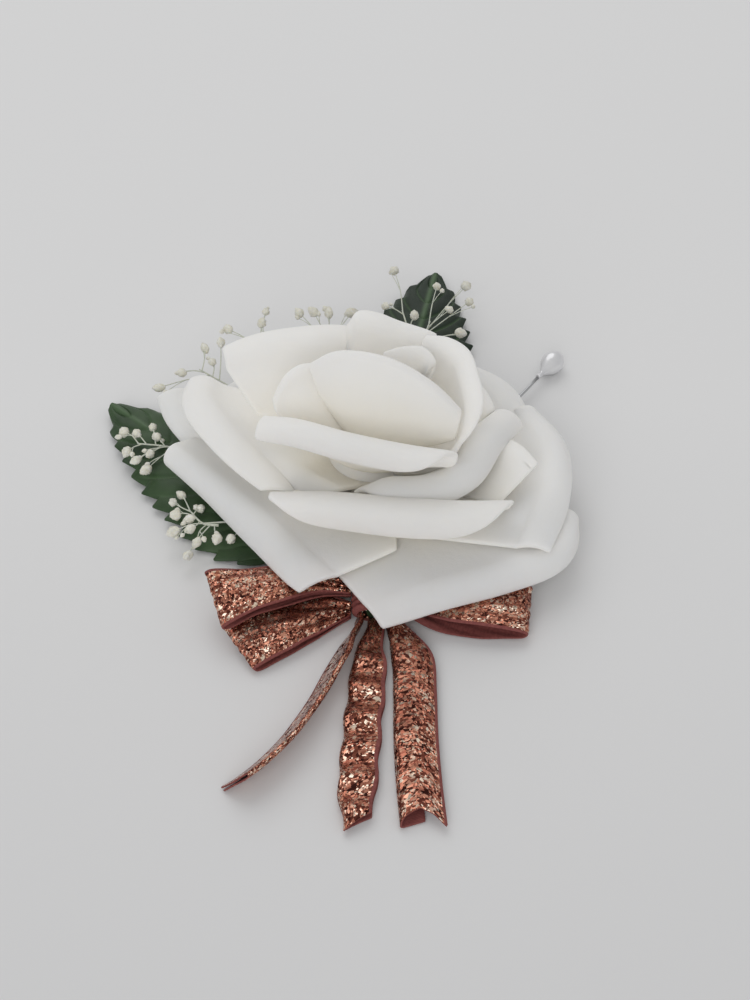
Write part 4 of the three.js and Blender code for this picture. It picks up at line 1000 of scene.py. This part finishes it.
def stem_piece():
    """The bound stem: a tube that thins under the bow, flat underneath.

    Its radius grows by a step over each turn of the tape, and by 0.03 sin(7 a + 38 s), with a round
    the stem and s along it from 0 to 1.
    """
    s = np.linspace(0, 1, 240)[:, None]
    line, _ = evenly_along(STEM_ROUTE, s[:, 0])
    a = 2 * np.pi * np.arange(32)[None, :] / 32
    turn = (s * TAPE_TURNS + a / (2 * np.pi)) % 1.0
    thin = smoothstep(-line[:, 1:2], 23, 26)
    radii = mix(STEM_RADIUS, STEM_END_RADIUS, thin) + TAPE_STEP * turn + 0.03 * np.sin(7 * a + 38 * s)
    shape = ring_shape(line, 32, radii, lift=[0, 1, 0])
    shape["points"][:, 2] = np.maximum(shape["points"][:, 2], 0.02)
    make_piece("stem", shape, TAPE, "floral_tape", "stem_bundle")


stem_piece()


# ---------------------------------------------------------------- pin

PIN_HEADING = unit([0.575, 0.818, 0.0])
PIN_POINT = np.array([2.9, -12.3, 2.4])
SHAFT_LENGTH = 55.8
PEARL_LENGTH = 9.2
PEARL_RADIUS = 2.4
WIRE_RADIUS = 0.36


def pin_pieces():
    """The wire tapers to its point. The pearl is a teardrop, 2.4 sin(pi s^1.6)^(1 - s/2)."""
    s = np.concatenate([np.linspace(0, 0.08, 10), np.linspace(0.1, 1, 20)])
    line = PIN_POINT + PIN_HEADING * (s * (SHAFT_LENGTH - 0.3))[:, None]
    radii = WIRE_RADIUS * np.clip(s / 0.07, 0.05, 1) ** 0.7
    make_piece("pin_wire", ring_shape(line, 16, radii), STEEL, "pin_steel", "pin_shaft")
    s = np.linspace(0, 1, 61)
    swell = PEARL_RADIUS * np.sin(np.pi * np.minimum(s, 0.9995) ** 1.6) ** (1 - 0.5 * s)
    swell = np.maximum(swell, 0.55 * (1 - s) + 0.01)
    line = PIN_POINT + PIN_HEADING * (SHAFT_LENGTH + s * PEARL_LENGTH)[:, None]
    make_piece("pearl_head", ring_shape(line, 48, swell), PEARL, "pearl", "pin_pearl")


pin_pieces()


# ---------------------------------------------------------------- floor, light and camera


FLOOR_RADIUS = 3.0  # m
CAMERA_DISTANCE = 0.3  # m


def stage_floor():
    """A wide disc at height 0, in metres, with painted shade that makes it a little darker on the near side.
    """
    rings, sides = 24, 96
    r = np.linspace(0, 1, rings)[:, None] ** 2 * FLOOR_RADIUS
    a = 2 * np.pi * np.arange(sides)[None, :] / sides
    points = np.stack([r * np.cos(a), r * np.sin(a), 0 * r * a], -1).reshape(-1, 3)
    k = np.arange(sides)
    base = (np.arange(rings - 1) * sides)[:, None]
    after = (k + 1) % sides
    quads = np.stack([base + k, base + sides + k, base + sides + after, base + after], -1)
    mesh = bpy.data.meshes.new("floor")
    mesh.from_pydata(points.tolist(), [], quads.reshape(-1, 4).tolist())
    f = Finish("pale_board", (0.8, 0.8, 0.8), 0.7, **{"Specular IOR Level": 0.2})
    cloud = f.noise(4, detail=2)
    tint = f.ramp(cloud, "Fac", [(0.3, (0.807, 0.807, 0.809)), (0.7, (0.817, 0.817, 0.819))])
    source, output = f.place()
    split = f.put("SeparateXYZ")
    f.join(source, output, split, "Vector")
    # Painted shade: the floor darkens toward the camera, as the light falls off.
    away = f.put("MapRange", {"From Min": -0.13, "From Max": 0.04})
    f.join(split, "Y", away, "Value")
    painted_falloff_shade = f.blend((away, "Result"), (0.88, 0.88, 0.885), (1.0, 1.0, 1.0))
    f.paint(f.blend(1.0, (tint, "Color"), (painted_falloff_shade, "Result"), "MULTIPLY"))
    mesh.materials.append(f.material)
    put_in_scene("floor", mesh)


def softbox(name, place, aim, size, watts):
    """A round area light at place, in metres, facing aim."""
    light = bpy.data.lights.new(name, "AREA")
    light.shape = "DISK"
    light.size = size
    light.energy = watts
    back = unit(np.array(place, float) - np.array(aim, float))
    nearly_up = [0, 0.01, 1]
    right = unit(np.cross(nearly_up, back))
    top = np.cross(back, right)
    turn = np.eye(4)
    turn[:3] = np.stack([right, top, back, place], -1)
    put_in_scene(name, light).matrix_world = Matrix(turn.tolist())


def look():
    """Camera in front of the bow, 45 degrees up and 300 mm from the rose's axis on the surface."""
    data = bpy.data.cameras.new("camera")
    data.lens = 54
    data.sensor_width = 36
    data.shift_y = -0.005
    data.clip_start = 0.01
    camera = put_in_scene("camera", data)
    tilt = np.radians(45)
    back, height = CAMERA_DISTANCE * np.cos(tilt), CAMERA_DISTANCE * np.sin(tilt)
    camera.location = (0, ROSE_AXIS[1] * MM - back, height)
    camera.rotation_euler = (np.pi / 2 - tilt, 0, 0)
    bpy.context.scene.camera = camera


def surround(strength):
    """Even white light from all round."""
    world = bpy.data.worlds.new("studio")
    world.use_nodes = True
    background = world.node_tree.nodes["Background"]
    background.inputs["Color"].default_value = (1, 1, 1, 1)
    background.inputs["Strength"].default_value = strength
    bpy.context.scene.world = world


stage_floor()
softbox("key", (-0.2, 0.85, 1.1), (0, 0, 0), 1.3, 4.6)
softbox("front", (-0.5, -1.9, 1.3), (0, 0, 0.02), 1.8, 16.5)
surround(0.47)
look()
bpy.context.scene.view_settings.view_transform = "Standard"
